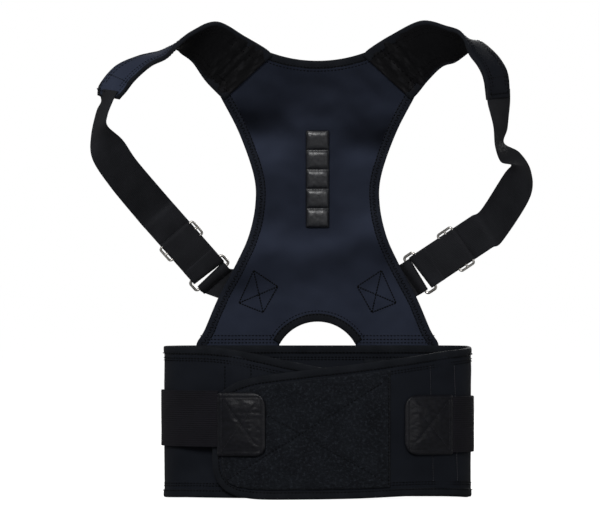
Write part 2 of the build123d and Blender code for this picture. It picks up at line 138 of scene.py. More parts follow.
def offset_path(path, distance):
    """The path moved sideways, to its left when distance is positive."""
    out = []
    for i, p in enumerate(path):
        t = (path[min(i + 1, len(path) - 1)] - path[max(i - 1, 0)]).normalized()
        out.append(p + Vector((-t.y, t.x)) * distance)
    return out


def arc(cx, cy, r, a0, a1, count=8):
    angles = [math.radians(lerp(a0, a1, i / count)) for i in range(count + 1)]
    return [(cx + r * math.cos(a), cy + r * math.sin(a)) for a in angles]


def rounded_rect(x0, x1, z0, z1, radius):
    """One radius for all corners, or one each, anticlockwise from the lower right."""
    a, b, c, d = radius if isinstance(radius, tuple) else (radius,) * 4
    return (arc(x1 - a, z0 + a, a, -90, 0) + arc(x1 - b, z1 - b, b, 0, 90)
            + arc(x0 + c, z1 - c, c, 90, 180) + arc(x0 + d, z0 + d, d, 180, 270))


def even_steps(start, end, step):
    count = round(abs(end - start) / step)
    return [lerp(start, end, i / count) for i in range(count + 1)]


def spread(length, step, edge):
    """0 to 1 in even steps, with extra lines at each distance in `edge` from both ends."""
    count = max(2, round(length / step))
    values = {round(i / count, 6) for i in range(count + 1)}
    for e in edge:
        values |= {round(e / length, 6), round(1 - e / length, 6)}
    return sorted(values)


def inside(poly, x, y):
    hit = False
    for (xi, yi), (xj, yj) in zip(poly, poly[-1:] + poly[:-1]):
        if (yi > y) != (yj > y) and x < (xj - xi) * (y - yi) / (yj - yi) + xi:
            hit = not hit
    return hit


def diagonal_distance(s, z, corners):
    """Distance to the nearer diagonal of a four-cornered box."""
    a, b, c, d = corners
    best = math.inf
    for p, q in ((a, c), (b, d)):
        dx, dz = q[0] - p[0], q[1] - p[1]
        best = min(best, abs((s - p[0]) * dz - (z - p[1]) * dx) / math.hypot(dx, dz))
    return best


# ---------- places: (u, v, off) to a point
def around(s, off):
    """Point on the belt's plan, s measured from the middle of the front, off outwards."""
    s = (s + HALF_LOOP) % (2 * HALF_LOOP) - HALF_LOOP
    sign, a = (1 if s >= 0 else -1), abs(s)
    if a <= FRONT_LEN:
        t = a / FRONT_R
        r = FRONT_R + off
        return sign * r * math.sin(t), FRONT_CY - r * math.cos(t)
    if a <= FRONT_LEN + SIDE_LEN:
        t = TURN + (a - FRONT_LEN) / SIDE_R
        r = SIDE_R + off
        return sign * (SIDE_X + r * math.sin(t)), SIDE_Y - r * math.cos(t)
    return sign * (SIDE_X - (a - FRONT_LEN - SIDE_LEN)), REAR_OUT + off


def s_at(x):
    """Distance along the front for a front x."""
    return FRONT_R * math.asin(x / FRONT_R)


def x_of(s):
    return around(s, 0)[0]


def outer_lift(s):
    return OUTER_LIFT * smooth((150.0 - x_of(s)) / 110.0) if s < SEAM_S else 0.0


def left_strap_lift(s):
    rise = 7.9 * smooth((x_of(s) + 158.0) / 46.0) if abs(s) < FRONT_LEN + SIDE_LEN / 2 else 0.0
    return 1.5 + rise


def right_strap_lift(s):
    return outer_lift(s) + 1.5


def belt_place(lift=None, seed=1.0, amount=0.7):
    """A cloth of the belt; it lies flat behind the side seams and ripples a little in front."""
    def place(s, z, off):
        base = lift(s) if lift else 0.0
        fade = smooth((SEAM_S - abs(s)) / 30)
        ripple = amount * wobble(s, z, 0, 38, seed) + amount * 0.4 * wobble(s, z, 5, 14, seed)
        x, y = around(s, base + off + ripple * fade)
        return Vector((x, y, z)) * MM
    return place


REAR_PLACE = belt_place(amount=0.0)
LEFT_PLACE = belt_place()
RIGHT_PLACE = belt_place(outer_lift, seed=5.0, amount=0.9)

PANEL_Y = 5.0
PANEL_BEND_Z, PANEL_BEND_R = 200.0, 1071.0
SEAM_IN, SEAM_OUT = (52.0, 467.0), (102.0, 422.0)  # ends of the right shoulder seam
SEAM_LEN = 67.3
STRIP_TOP, STRIP_PITCH, STRIP_CELLS, STRIP_HALF = 386.0, 20.6, 5, 12.5
STRIP_MID = STRIP_TOP - STRIP_PITCH * STRIP_CELLS / 2
STRIP_FLAT = (14.0, 53.0)  # half width and half height that stay flat under the magnet strip
# The panel's two soft folds: height, z on the middle line, slope and width.
PANEL_FOLDS = ((6.0, 374, -0.15, 21), (-4.0, 262, 0.2, 24))


def panel_wave(x, z):
    """Soft unevenness of the back panel; it dies out at the waist seam, the top and the magnets."""
    fade = smooth((z - 175) / 60) * smooth((475 - z) / 30)
    folds = sum(height * bell(z - z0 - slope * x, width) for height, z0, slope, width in PANEL_FOLDS)
    to_strip = math.hypot(max(0.0, abs(x) - STRIP_FLAT[0]), max(0.0, abs(z - STRIP_MID) - STRIP_FLAT[1]))
    to_seam = ((SEAM_OUT[1] - SEAM_IN[1]) * (abs(x) - SEAM_IN[0])
               - (SEAM_OUT[0] - SEAM_IN[0]) * (z - SEAM_IN[1])) / SEAM_LEN
    rough = 3.2 * wobble(x, z, 0, 70, 3.1) + 0.9 * wobble(x, z, 0, 26, 7.7)
    return fade * smooth(to_strip / 34) * smooth(to_seam / 30) * (folds + rough)


def panel_place(x, z, off):
    """off is towards the front, the wearer's side of the panel."""
    rise = max(0.0, z - PANEL_BEND_Z)
    n = Vector((0, -1, -rise / PANEL_BEND_R)).normalized()
    y = PANEL_Y - rise**2 / (2 * PANEL_BEND_R)
    return (Vector((x, y + panel_wave(x, z), z)) + n * off) * MM


class Ribbon:
    """A strap through pairs of edge points; place(u, v, off) with v from 0 at the first edge to 1."""

    def __init__(self, stations, step=2.0):
        fine = curve([(*a, *b) for a, b in stations], step)
        self.a = [Vector(p[:3]) for p in fine]
        self.b = [Vector(p[3:]) for p in fine]
        mids = [(p + q) / 2 for p, q in zip(self.a, self.b)]
        self.run = [0.0]
        for p, q in zip(mids, mids[1:]):
            self.run.append(self.run[-1] + (q - p).length)
        self.length = self.run[-1]
        self.normals = []
        for i in range(len(mids)):
            along = mids[min(i + 1, len(mids) - 1)] - mids[max(i - 1, 0)]
            self.normals.append(along.cross(self.b[i] - self.a[i]).normalized())

    def place(self, u, v, off):
        i = min(max(bisect_left(self.run, u) - 1, 0), len(self.run) - 2)
        t = (u - self.run[i]) / (self.run[i + 1] - self.run[i])
        a = self.a[i].lerp(self.a[i + 1], t)
        b = self.b[i].lerp(self.b[i + 1], t)
        return (a.lerp(b, v) + self.normals[i].lerp(self.normals[i + 1], t) * off) * MM


# ---------- piece builders
def add_object(name, verts, faces, uvs, materials, face_materials=None):
    mesh = bpy.data.meshes.new(name)
    mesh.from_pydata([v[:] for v in verts], [], faces)
    layer = mesh.uv_layers.new(name="cloth")
    loop_verts = np.empty(len(mesh.loops), dtype=np.int32)
    mesh.loops.foreach_get("vertex_index", loop_verts)
    layer.data.foreach_set("uv", (np.array(uvs, float)[loop_verts] * MM).ravel())
    for material in materials:
        mesh.materials.append(material)
    if face_materials:
        mesh.polygons.foreach_set("material_index", face_materials)
    mesh.update()
    obj = bpy.data.objects.new(name, mesh)
    bpy.context.scene.collection.objects.link(obj)
    return obj


def soften(obj):
    """Turns all faces outwards and shades them smooth."""
    bm = bmesh.new()
    bm.from_mesh(obj.data)
    bmesh.ops.recalc_face_normals(bm, faces=bm.faces)
    bm.to_mesh(obj.data)
    bm.free()
    obj.data.polygons.foreach_set("use_smooth", [True] * len(obj.data.polygons))
    return obj


def attach(obj, slot, body, *nodes):
    """Hides the CAD nodes a piece stands for and puts it on the body it rides on; slot is not used."""
    if nodes:
        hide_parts(*nodes)
    if body:
        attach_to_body(obj, body)


def bend(obj, near, far):
    """Bakes the piece's placement into its mesh; near and far are not used."""
    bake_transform(obj)


def rounded(gap, edge, least):
    """Share of the full thickness at a distance from a rounded edge."""
    f = min(1.0, gap / edge)
    return least + (1 - least) * math.sqrt(max(0.0, 1 - (1 - f) ** 2))


def cloth(name, outline, place, thick, material, spacing, bump=None, edge=0.6, off=0.0):
    """A closed sheet of cloth with any outline: two faces a thickness apart and a rounded rim."""
    rim = [tuple(p) for p in resample([*outline, outline[0]], spacing)[:-1]]
    ring = np.array(rim)
    low, high = ring.min(0), ring.max(0)

    def to_rim(x, y):
        return np.hypot(ring[:, 0] - x, ring[:, 1] - y).min()

    points = [Vector(p) for p in rim]
    row, y = 0, low[1] + spacing * 0.5
    while y < high[1]:
        x = low[0] + (0.5 if row % 2 else 0.0) * spacing
        while x < high[0]:
            if to_rim(x, y) > spacing * 0.6 and inside(rim, x, y):
                points.append(Vector((x, y)))
            x += spacing
        y += spacing * 0.87
        row += 1
    n = len(rim)
    loop = [(i, (i + 1) % n) for i in range(n)]
    flat, _, triangles, *_ = delaunay_2d_cdt(points, loop, [list(range(n))], 1, 1e-4)
    verts, uvs, faces = [], [], []
    for side in (1, -1):
        for x, y in flat:
            half = thick / 2 * rounded(to_rim(x, y), edge, 0.35)
            extra = bump(x, y, side) if bump else 0.0
            verts.append(place(x, y, off + side * half + extra))
            uvs.append((x, y))
    count = len(flat)
    edges = set()
    for triangle in triangles:
        p, q, r = (flat[i] for i in triangle)
        left_turn = (q[0] - p[0]) * (r[1] - p[1]) - (q[1] - p[1]) * (r[0] - p[0]) >= 0
        a, b, c = triangle if left_turn else reversed(triangle)
        faces += [[a, b, c], [c + count, b + count, a + count]]
        edges |= {(a, b), (b, c), (c, a)}
    for a, b in sorted(edges):
        if (b, a) not in edges:
            faces.append([b, a, a + count, b + count])
    return soften(add_object(name, verts, faces, uvs, [material]))


def strip(name, place, us, vs, width, thick, materials, bump, edge=0.8):
    """A strap over the grid of us and vs (v from 0 to 1), closed, with rounded long edges.

    A second material goes on the face that looks away from the strap's normals.
    """
    nu, nv = len(us), len(vs)
    verts, uvs, faces, mats = [], [], [], []
    for side in (1, -1):
        for u in us:
            for v in vs:
                half = thick / 2 * rounded(min(v, 1 - v) * width, edge, 0.2)
                verts.append(place(u, v, side * half + bump(u, v, side)))
                uvs.append((u, v * width))
    count = nu * nv
    back = len(materials) - 1
    for i in range(nu - 1):
        for j in range(nv - 1):
            a = i * nv + j
            faces.append([a, a + nv, a + nv + 1, a + 1])
            faces.append([a + count, a + count + 1, a + count + nv + 1, a + count + nv])
            mats += [0, back]
    long_edges = [(i * nv + j, (i + 1) * nv + j) for i in range(nu - 1) for j in (0, nv - 1)]
    ends = [(i * nv + j, i * nv + j + 1) for j in range(nv - 1) for i in (0, nu - 1)]
    for a, b in long_edges + ends:
        faces.append([a, b, b + count, a + count])
        mats.append(0)
    return soften(add_object(name, verts, faces, uvs, materials, mats))


def binding(name, path, place, material, width=8.5, height=6.0, off=0.0, seed=0.0):
    """Tape folded over a cloth edge: a flattened tube that follows the path, inside to its left."""
    path = resample(path, 3.0)
    profile = []
    for k in range(16):
        a = 2 * math.pi * k / 16
        across = 0.5 + 0.5 * math.copysign(abs(math.cos(a)) ** 0.6, math.cos(a))
        rise = math.copysign(abs(math.sin(a)) ** 0.55, math.sin(a))
        profile.append((across * (width + 0.8) - 0.8, rise * height / 2 * lerp(1.0, 0.84, across)))
    verts, uvs, faces = [], [], []
    run = 0.0
    for i, p in enumerate(path):
        t = (path[min(i + 1, len(path) - 1)] - path[max(i - 1, 0)]).normalized()
        inward = Vector((-t.y, t.x))
        if i:
            run += (p - path[i - 1]).length
        puff = 1 + 0.05 * wobble(run, seed, 0, 6, seed)
        for k, (across, h) in enumerate(profile):
            q = p + inward * across
            verts.append(place(q.x, q.y, off + h * puff))
            uvs.append((run, k * 1.4))
    n = len(profile)
    for i in range(len(path) - 1):
        for k in range(n):
            a, b = i * n + k, i * n + (k + 1) % n
            faces.append([a, a + n, b + n, b])
    faces.append(list(range(n)))
    faces.append(list(reversed(range((len(path) - 1) * n, len(path) * n))))
    return soften(add_object(name, verts, faces, uvs, [material]))


class Thread:
    """Collects sewing stitches; each is a small lens-shaped bead lying on the cloth."""

    def __init__(self):
        self.verts, self.faces = [], []

    def stitch(self, p, q, place, off, width):
        """One stitch from p to q on a cloth."""
        middle = (p + q) / 2
        normal = place(middle.x, middle.y, off + 1) - place(middle.x, middle.y, off)
        a, b = place(p.x, p.y, off), place(q.x, q.y, off)
        side = (b - a).cross(normal).normalized() * (width * MM / 2)
        up = normal.normalized() * (width * MM * 0.55)
        mid = (a + b) / 2
        base = len(self.verts)
        ring = [a, a.lerp(b, 0.2) + side * 0.85, mid + side, a.lerp(b, 0.8) + side * 0.85, b,
                a.lerp(b, 0.8) - side * 0.85, mid - side, a.lerp(b, 0.2) - side * 0.85]
        top = [a.lerp(b, 0.22) + up, mid + up * 1.15, a.lerp(b, 0.78) + up]
        self.verts += [p - up * 0.35 for p in ring] + top
        faces = [(0, 1, 8), (1, 2, 9, 8), (2, 3, 10, 9), (3, 4, 10), (4, 5, 10), (5, 6, 9, 10),
                 (6, 7, 8, 9), (7, 0, 8), (7, 6, 5, 4, 3, 2, 1, 0)]
        self.faces += [[base + i for i in face] for face in faces]

    def row(self, path, place, off, pitch=3.6, length=2.5, width=1.1):
        """A running row of stitches along a path on a cloth."""
        points = resample(path, pitch)
        for p, q in zip(points, points[1:]):
            self.stitch(p, p + (q - p) * (length / pitch), place, off, width)

    def zigzag(self, path, place, off, pitch=3.0, reach=3.6, width=1.0):
        """Short cross stitches over a path, leaning to and fro."""
        points = resample(path, pitch)
        for i, (p, q) in enumerate(zip(points, points[1:])):
            t = (q - p).normalized()
            side = Vector((-t.y, t.x)) * reach / 2
            lean = t * pitch * (0.28 if i % 2 else -0.28)
            middle = (p + q) / 2
            self.stitch(middle - side - lean, middle + side + lean, place, off, width)

    def finish(self, name, material):
        return soften(add_object(name, self.verts, self.faces, [(0, 0)] * len(self.verts), [material]))


# ---------- materials
class Shader:
    """A procedural material: a Principled shader with node chains for colour, roughness and bump."""

    def __init__(self, name, use_uv=True):
        self.mat = bpy.data.materials.new(name)
        self.mat.use_nodes = True
        self.nodes = self.mat.node_tree.nodes
        self.links = self.mat.node_tree.links
        self.bsdf = self.nodes["Principled BSDF"]
        self.normal = None
        if use_uv:
            self.coords = self.node("ShaderNodeUVMap", uv_map="cloth").outputs["UV"]
        else:
            self.coords = self.node("ShaderNodeTexCoord").outputs["Object"]

    def node(self, kind, inputs=None, **props):
        n = self.nodes.new(kind)
        for key, value in props.items():
            setattr(n, key, value)
        for key, value in (inputs or {}).items():
            self.fill(n.inputs[key], value)
        return n

    def fill(self, socket, value):
        if isinstance(value, bpy.types.NodeSocket):
            self.links.new(value, socket)
        elif isinstance(value, tuple) and socket.type == "RGBA":
            socket.default_value = (*value, 1)
        else:
            socket.default_value = value

    def noise(self, size_mm, detail=2.0, rough=0.5, stretch=None):
        source = self.coords
        if stretch:
            source = self.node("ShaderNodeMapping", {"Vector": source, "Scale": stretch}).outputs[0]
        return self.node("ShaderNodeTexNoise", {
            "Vector": source, "Scale": 1 / (size_mm * MM), "Detail": detail, "Roughness": rough,
        }).outputs["Fac"]

    def cells(self, size_mm, feature="F1"):
        return self.node("ShaderNodeTexVoronoi", {"Vector": self.coords, "Scale": 1 / (size_mm * MM)},
                         feature=feature).outputs["Distance"]

    def bands(self, pitch_mm, direction, distortion=0.0):
        """Sine ribs; pitch is the distance from rib to rib."""
        return self.node("ShaderNodeTexWave", {
            "Vector": self.coords, "Scale": 0.314 / (pitch_mm * MM), "Distortion": distortion,
            "Detail": 1.0, "Detail Scale": 2.0,
        }, bands_direction=direction, wave_profile="SIN").outputs["Fac"]

    def math(self, operation, a, b):
        return self.node("ShaderNodeMath", {0: a, 1: b}, operation=operation).outputs[0]

    def ramp(self, fac, start, end):
        """Colour from one (position, colour) stop to the other."""
        n = self.node("ShaderNodeValToRGB", {"Fac": fac})
        for element, (position, colour) in zip(n.color_ramp.elements, (start, end)):
            element.position = position
            element.color = (*colour, 1)
        return n.outputs["Color"]

    def mix(self, fac, a, b):
        return self.node("ShaderNodeMix", {0: fac, 6: a, 7: b}, data_type="RGBA").outputs[2]

    def range(self, value, low, high, start=0.0, end=1.0):
        return self.node("ShaderNodeMapRange", {
            "Value": value, "From Min": start, "From Max": end, "To Min": low, "To Max": high,
        }).outputs[0]

    def bump(self, height, depth_mm, strength=1.0):
        inputs = {"Height": height, "Distance": depth_mm * MM, "Strength": strength}
        if self.normal:
            inputs["Normal"] = self.normal
        self.normal = self.node("ShaderNodeBump", inputs).outputs["Normal"]

    def nap(self, colour, down, up):
        """Painted light from above: makes the colour darker where the cloth faces down and lighter where it
        faces up.
        """
        normal = self.node("ShaderNodeNewGeometry").outputs["Normal"]
        z = self.node("ShaderNodeSeparateXYZ", {"Vector": normal}).outputs["Z"]
        top_light_gain = self.range(z, down, up, -0.42, 0.22)
        return self.node("ShaderNodeVectorMath", {0: colour, 1: top_light_gain}, operation="MULTIPLY").outputs[0]

    def finish(self, colour, roughness, specular=0.5, sheen=(0.0, 0.5), **inputs):
        """Sheen is its weight and its roughness; other inputs are named with underscores."""
        inputs.update(Base_Color=colour, Roughness=roughness, Specular_IOR_Level=specular,
                      Sheen_Weight=sheen[0], Sheen_Roughness=sheen[1])
        if self.normal:
            inputs["Normal"] = self.normal
        for key, value in inputs.items():
            self.fill(self.bsdf.inputs[key.replace("_", " ")], value)
        return self.mat


def times(colour, factor):
    return tuple(c * factor for c in colour)


def knit(name, dark, light, nap=(0.8, 1.2)):
    """Smooth jersey over neoprene: fine stitches, soft broad tone changes, a light sheen, and painted light
    from above in its colour.
    """
    s = Shader(name)
    broad = s.noise(55)
    fine = s.noise(0.9, 1.0)
    stitch = s.math("MULTIPLY", s.bands(0.75, "X", 0.6), s.bands(0.95, "Y", 0.6))
    s.bump(stitch, 0.05, 0.5)
    s.bump(fine, 0.05, 0.35)
    tone = s.ramp(broad, (0.3, dark), (0.72, light))
    # Lighter flecks where the fine noise is high, the same noise that raises the fine bump.
    worn = s.mix(s.range(fine, 0.0, 0.35), tone, times(light, 1.5))
    colour = s.mix(s.range(stitch, 0.25, 0.0), worn, times(dark, 0.5))
    # s.nap paints light from above into the colour: darker where the cloth faces down, lighter where it
    # faces up.
    return s.finish(s.nap(colour, *nap), s.range(broad, 0.64, 0.8), 0.04, (0.015, 0.45))


def lining(name, dark, crease_highlight):
    """Black lining: smooth along the strap; in its first few centimetres the creases are glossier and carry
    painted highlights, lighter streaks in the colour along the crease tops.
    """
    s = Shader(name)
    u = s.node("ShaderNodeSeparateXYZ", {"Vector": s.coords}).outputs["X"]
    near = s.range(u, 1.0, 0.0, 22 * MM, 52 * MM)
    folds = s.noise(7.0, 3.0, 0.6, (1.0, 0.6, 1.0))
    s.bump(folds, 1.2, 0.8)
    s.bump(s.noise(0.9), 0.06, 0.5)
    # Painted highlight: lighter streaks in the colour along the crease tops in the strap's first few
    # centimetres; the lower roughness there is real gloss.
    highlight_streak = s.ramp(folds, (0.50, (0, 0, 0)), (0.66, (1, 1, 1)))
    gloss_and_highlight_mask = s.math("MULTIPLY", highlight_streak, near)
    return s.finish(s.mix(gloss_and_highlight_mask, dark, crease_highlight), s.range(gloss_and_highlight_mask, 0.75, 0.4), 0.08)


def tape(name, dark, light):
    """Woven binding tape: a tight diagonal twill."""
    s = Shader(name)
    twill = s.bands(0.9, "DIAGONAL", 0.3)
    fuzz = s.noise(1.3)
    s.bump(s.math("ADD", twill, s.bands(0.72, "Y", 0.2)), 0.09, 0.6)
    s.bump(fuzz, 0.08, 0.4)
    tone = s.ramp(s.noise(20), (0.3, dark), (0.7, light))
    colour = s.mix(s.range(s.math("MULTIPLY", twill, fuzz), 0.0, 0.5), tone, times(light, 1.7))
    return s.finish(colour, s.range(fuzz, 0.7, 0.9), 0.06, (0.01, 0.5))


def webbing(name, dark, light, rib=1.6):
    """Knitted elastic: ribs along its length, short weft bars across, and a colour that is lighter where
    ribs, weft bars and fuzz all stand high.
    """
    s = Shader(name)
    ribs = s.bands(rib, "Y", 0.15)
    weft = s.bands(0.8, "X", 0.5)
    fuzz = s.noise(0.8)
    broad = s.noise(34)
    s.bump(ribs, 0.16, 0.6)
    s.bump(weft, 0.08, 0.5)
    s.bump(fuzz, 0.08, 0.4)
    tone = s.ramp(broad, (0.3, dark), (0.75, light))
    yarn = s.math("MULTIPLY", s.math("MULTIPLY", ribs, weft), fuzz)
    colour = s.mix(s.range(yarn, 0.0, 1.1), tone, times(light, 2.3))
    return s.finish(colour, s.range(broad, 0.68, 0.88), 0.07, (0.01, 0.5))


def pile(name, dark, light, lint):
    """Brushed loop pile: a matted, speckled nap with stray lighter fibres."""
    s = Shader(name)
    nap = s.noise(2.0, 4.0, 0.7)
    fibres = s.noise(3.2, 4.0, 0.75)
    s.bump(s.cells(2.0), 0.7, 0.8)
    s.bump(nap, 1.0)
    s.bump(fibres, 0.8, 0.8)
    tone = s.ramp(s.noise(24, 3.0), (0.3, dark), (0.7, light))
    speck = s.ramp(fibres, (0.50, (0, 0, 0)), (0.74, (0.9, 0.9, 0.9)))
    colour = s.mix(s.range(nap, 0.5, 0.0), s.mix(speck, tone, lint), times(dark, 0.4))
    return s.finish(colour, 0.95, 0.05, (0.02, 0.6))


def leatherette(name, dark, light, shine):
    """Coated artificial leather: pebble grain, fine creases and a satin shine worn in places."""
    s = Shader(name)
    crease = s.noise(4.5, 4.0, 0.65)
    s.bump(crease, 0.35, 0.6)
    s.bump(s.cells(1.25, "SMOOTH_F1"), 0.12, 0.6)
    colour = s.ramp(crease, (0.35, dark), (0.7, light))
    return s.finish(colour, s.range(s.noise(16), 0.26, 0.46), shine)


def hook_tape(name, colour):
    """Moulded hooks in a close square grid."""
    s = Shader(name)
    grid = s.math("MULTIPLY", s.bands(1.4, "X"), s.bands(1.4, "Y"))
    s.bump(grid, 0.7)
    tone = s.mix(s.range(grid, 0.0, 0.6), colour, times(colour, 2.2))
    return s.finish(tone, s.range(s.noise(2.0), 0.45, 0.65), 0.2)


def metal(name, colour, rough, wear):
    """Plated or bare metal: fine scratches, slight tarnish in patches."""
    s = Shader(name, use_uv=False)
    scratch = s.noise(1.2, 3.0, 0.8, (1.0, 1.0, 9.0))
    s.bump(scratch, 0.02, 0.5)
    tone = s.ramp(s.noise(9, 4.0, 0.7), (0.35, times(colour, wear)), (0.65, colour))
    return s.finish(tone, s.range(scratch, rough * 0.7, rough * 1.5), Metallic=1.0)


def sewing_thread(name, dark, light):
    s = Shader(name, use_uv=False)
    twist = s.noise(0.9)
    s.bump(twist, 0.1, 0.6)
    return s.finish(s.ramp(twist, (0.3, dark), (0.7, light)), s.range(twist, 0.55, 0.75), 0.08)


# Where a knit has a third pair, it is its painted light from above: the colour's factor where the cloth
# faces down, then where it faces up.
NAVY = knit("navy_neoprene", (0.0062, 0.0080, 0.0140), (0.0112, 0.0138, 0.0225), (0.35, 1.9))
BELT_KNIT = knit("belt_neoprene", (0.0026, 0.0032, 0.0048), (0.0054, 0.0064, 0.0090), (0.6, 1.5))
PAD_KNIT = knit("pad_neoprene", (0.0024, 0.0029, 0.0045), (0.0046, 0.0054, 0.0078))
# The lining's second colour is its painted crease highlight.
LINING = lining("black_lining", (0.0012, 0.0012, 0.0016), (0.0060, 0.0060, 0.0070))
TAPE = tape("binding_tape", (0.0024, 0.0030, 0.0042), (0.0052, 0.0060, 0.0080))
WEB = webbing("shoulder_elastic", (0.0030, 0.0032, 0.0040), (0.0088, 0.0092, 0.0110))
FOLD_WEB = webbing("folded_elastic", (0.0044, 0.0046, 0.0056), (0.0086, 0.0089, 0.0106))
RIBBED = webbing("belt_elastic", (0.0020, 0.0019, 0.0027), (0.0042, 0.0039, 0.0056), rib=2.2)
PILE = pile("loop_pile", (0.0029, 0.0035, 0.0050), (0.0064, 0.0076, 0.0102), (0.022, 0.026, 0.033))
LEATHER = leatherette("leatherette", (0.0014, 0.0015, 0.0024), (0.0042, 0.0044, 0.0064), 0.15)
COVER = leatherette("magnet_leatherette", (0.0030, 0.0033, 0.0046), (0.0088, 0.0094, 0.0122), 0.4)
EDGE_TAPE = tape("panel_edge_tape", (0.0036, 0.0045, 0.0074), (0.0072, 0.0086, 0.0128))
HOOK = hook_tape("hook_tape", (0.0030, 0.0030, 0.0035))
NICKEL = metal("nickel_wire", (0.50, 0.48, 0.45), 0.28, 0.55)
STEEL = metal("spring_steel", (0.30, 0.31, 0.33), 0.35, 0.8)
THREAD = sewing_thread("black_thread", (0.0004, 0.0004, 0.0006), (0.0012, 0.0013, 0.0016))
TAB_THREAD = sewing_thread("tab_thread", (0.007, 0.007, 0.009), (0.024, 0.024, 0.029))
EDGE_THREAD = sewing_thread("grey_thread", (0.016, 0.016, 0.019), (0.040, 0.041, 0.048))


# ---------- rear of the belt
def sewn_channel(name, node, place, s_mid, z0, z1, off, body):
    """A tape sleeve over a flat stay: raised in the middle, flat along its sewn edges."""
    def crown(s, z, side):
        ends = smooth(min(z - z0, z1 - z) / 6)
        return -1.3 * ends * smooth(1.25 - abs(s - s_mid) / 9) if side < 0 else 0.0

    outline = rounded_rect(s_mid - SLEEVE_HALF, s_mid + SLEEVE_HALF, z0, z1, 2.5)
    sleeve = cloth(name, outline, place, 1.2, TAPE, 3.0, crown, 0.8, off)
    attach(sleeve, "binding_tape", body, node)


def rear_belt():
    """Rear half of the belt, from side seam to side seam, with taped edges and two stay sleeves."""
    start, end = SEAM_S, 2 * HALF_LOOP - SEAM_S

    def quilt(s, z, side):
        """Shallow ridges over the two stays, and slight unevenness of the padding."""
        fade = smooth(min(z, BELT_TOP - z) / 16)
        ridge = 0.9 * bell(abs(s - HALF_LOOP) - REAR_STAY_X, 9) * (1 if side > 0 else 0.4)
        return (ridge * fade + 0.35 * wobble(s, z, side, 30, 4.0)) * fade

    outline = [(start, 1), (end, 1), (end, BELT_TOP - 1), (start, BELT_TOP - 1)]
    body = cloth("belt_rear_cloth", outline, REAR_PLACE, THICK, BELT_KNIT, 4.0, quilt, 0.5, -THICK / 2)
    attach(body, "neoprene", "belt", "belt_rear")
    low = [(start, 0), (end, 0)]
    high = [(end, BELT_TOP), (start, BELT_TOP)]
    for name, node, path, seed in (("lower", "bottom", low, 1.0), ("upper", "top", high, 2.0)):
        obj = binding(f"belt_rear_{name}_tape", path, REAR_PLACE, TAPE, 9.0, 6.0, -THICK / 2, seed)
        attach(obj, "binding_tape", "belt", f"belt_rear_{node}_binding")
    thread = Thread()
    for off, sign in CLOTH_FACES:
        for inset in BESIDE_TAPE:
            for z in (inset, BELT_TOP - inset):
                thread.row([(start + 2, z), (end - 2, z)][::sign], REAR_PLACE, off)
        for z in (ON_TAPE, BELT_TOP - ON_TAPE):
            thread.row([(start + 2, z), (end - 2, z)], REAR_PLACE, off + 0.8 * sign)
        for s_mid in REAR_STAYS:
            for s in (s_mid - SLEEVE_HALF, s_mid + SLEEVE_HALF):
                thread.row([(s, 18), (s, BELT_TOP - 18)], REAR_PLACE, off + 0.3 * sign)
        for s in (start + 2.2, end - 2.2):
            thread.row([(s, 4), (s, BELT_TOP - 4)], REAR_PLACE, off)
    z0, z1 = 14.0, 144.0
    for side, s_mid in zip(("left", "right"), REAR_STAYS):
        sewn_channel(f"rear_stay_sleeve_{side}", "rear_stay_channels", REAR_PLACE, s_mid, z0, z1,
                     -THICK - 0.9, "belt")
        for s in (s_mid - 11.5, s_mid + 11.5):
            thread.row([(s, z0 + 3), (s, z1 - 3)], REAR_PLACE, -THICK - 1.8)
    attach(thread.finish("belt_rear_stitches", THREAD), "binding_tape", "belt")


# ---------- front flaps
def left_flap_outline(inset=0.0):
    """Inner flap: from the left side seam to its rounded end right of the middle."""
    end_s, r = s_at(20.0) - inset, 14.0
    base = 2.0 + inset
    top = curve([(s_at(6.0), 136.0 - inset), (s_at(-33.0), 143.5 - inset), (s_at(-73.0), 152.0 - inset),
                 (s_at(-108.0), 157.0 - inset), (-FRONT_LEN - 12, 158.0 - inset),
                 (-SEAM_S, 158.0 - inset)], 4.0)
    low = [(-SEAM_S, 0.5 + inset), (-FRONT_LEN, base), *arc(end_s - r, base + r, r, -90, 0)]
    end = [(end_s, 121.0 - inset), (end_s - 1.5, 130.0 - inset)]
    return [Vector(p) for p in low + end] + top


def right_flap_outline(inset=0.0):
    """Outer flap: from the right side seam to its rounded end at the left.

    Each point is its place along the front and its height, then how far both move for an inset of 1.
    """
    def side(*points):
        return curve([(s + ds * inset, z + dz * inset) for s, z, ds, dz in points], 4.0)

    top = side((SEAM_S, 158.0, 0, -1), (FRONT_LEN + 8, 154.5, 0, -1), (s_at(133.0), 153.0, 0, -1),
               (s_at(96.0), 147.5, 0, -1), (s_at(40.0), 140.0, 0, -1), (s_at(-3.0), 135.0, 0, -1),
               (s_at(-60.0), 127.5, 0, -1), (s_at(-84.0), 121.0, 0.3, -1))
    end = side((s_at(-84.0), 121.0, 0.3, -1), (s_at(-98.0), 111.0, 1, -0.4), (s_at(-105.0), 94.0, 1, 0),
               (s_at(-107.0), 66.0, 1, 0), (s_at(-107.0), 40.0, 1, 0), (s_at(-104.5), 24.0, 1, 0),
               (s_at(-96.0), 11.0, 0.7, 0.6), (s_at(-82.0), 3.5, 0, 1))
    low = side((s_at(-82.0), 3.5, 0, 1), (s_at(-60.0), 1.0, 0, 1), (s_at(-20.0), 1.0, 0, 1),
               (s_at(40.0), 2.0, 0, 1), (s_at(96.0), 4.0, 0, 1), (FRONT_LEN, 3.5, 0, 1),
               (SEAM_S, 0.5, 0, 1))
    return low + top[:-1] + end[:-1]


def finish_flap(obj, side, slot, *nodes):
    """Hides a flap piece's CAD nodes and bakes its placement into its mesh."""
    attach(obj, slot, None, *nodes)
    bend(obj, "belt", f"{side}_flap_body")


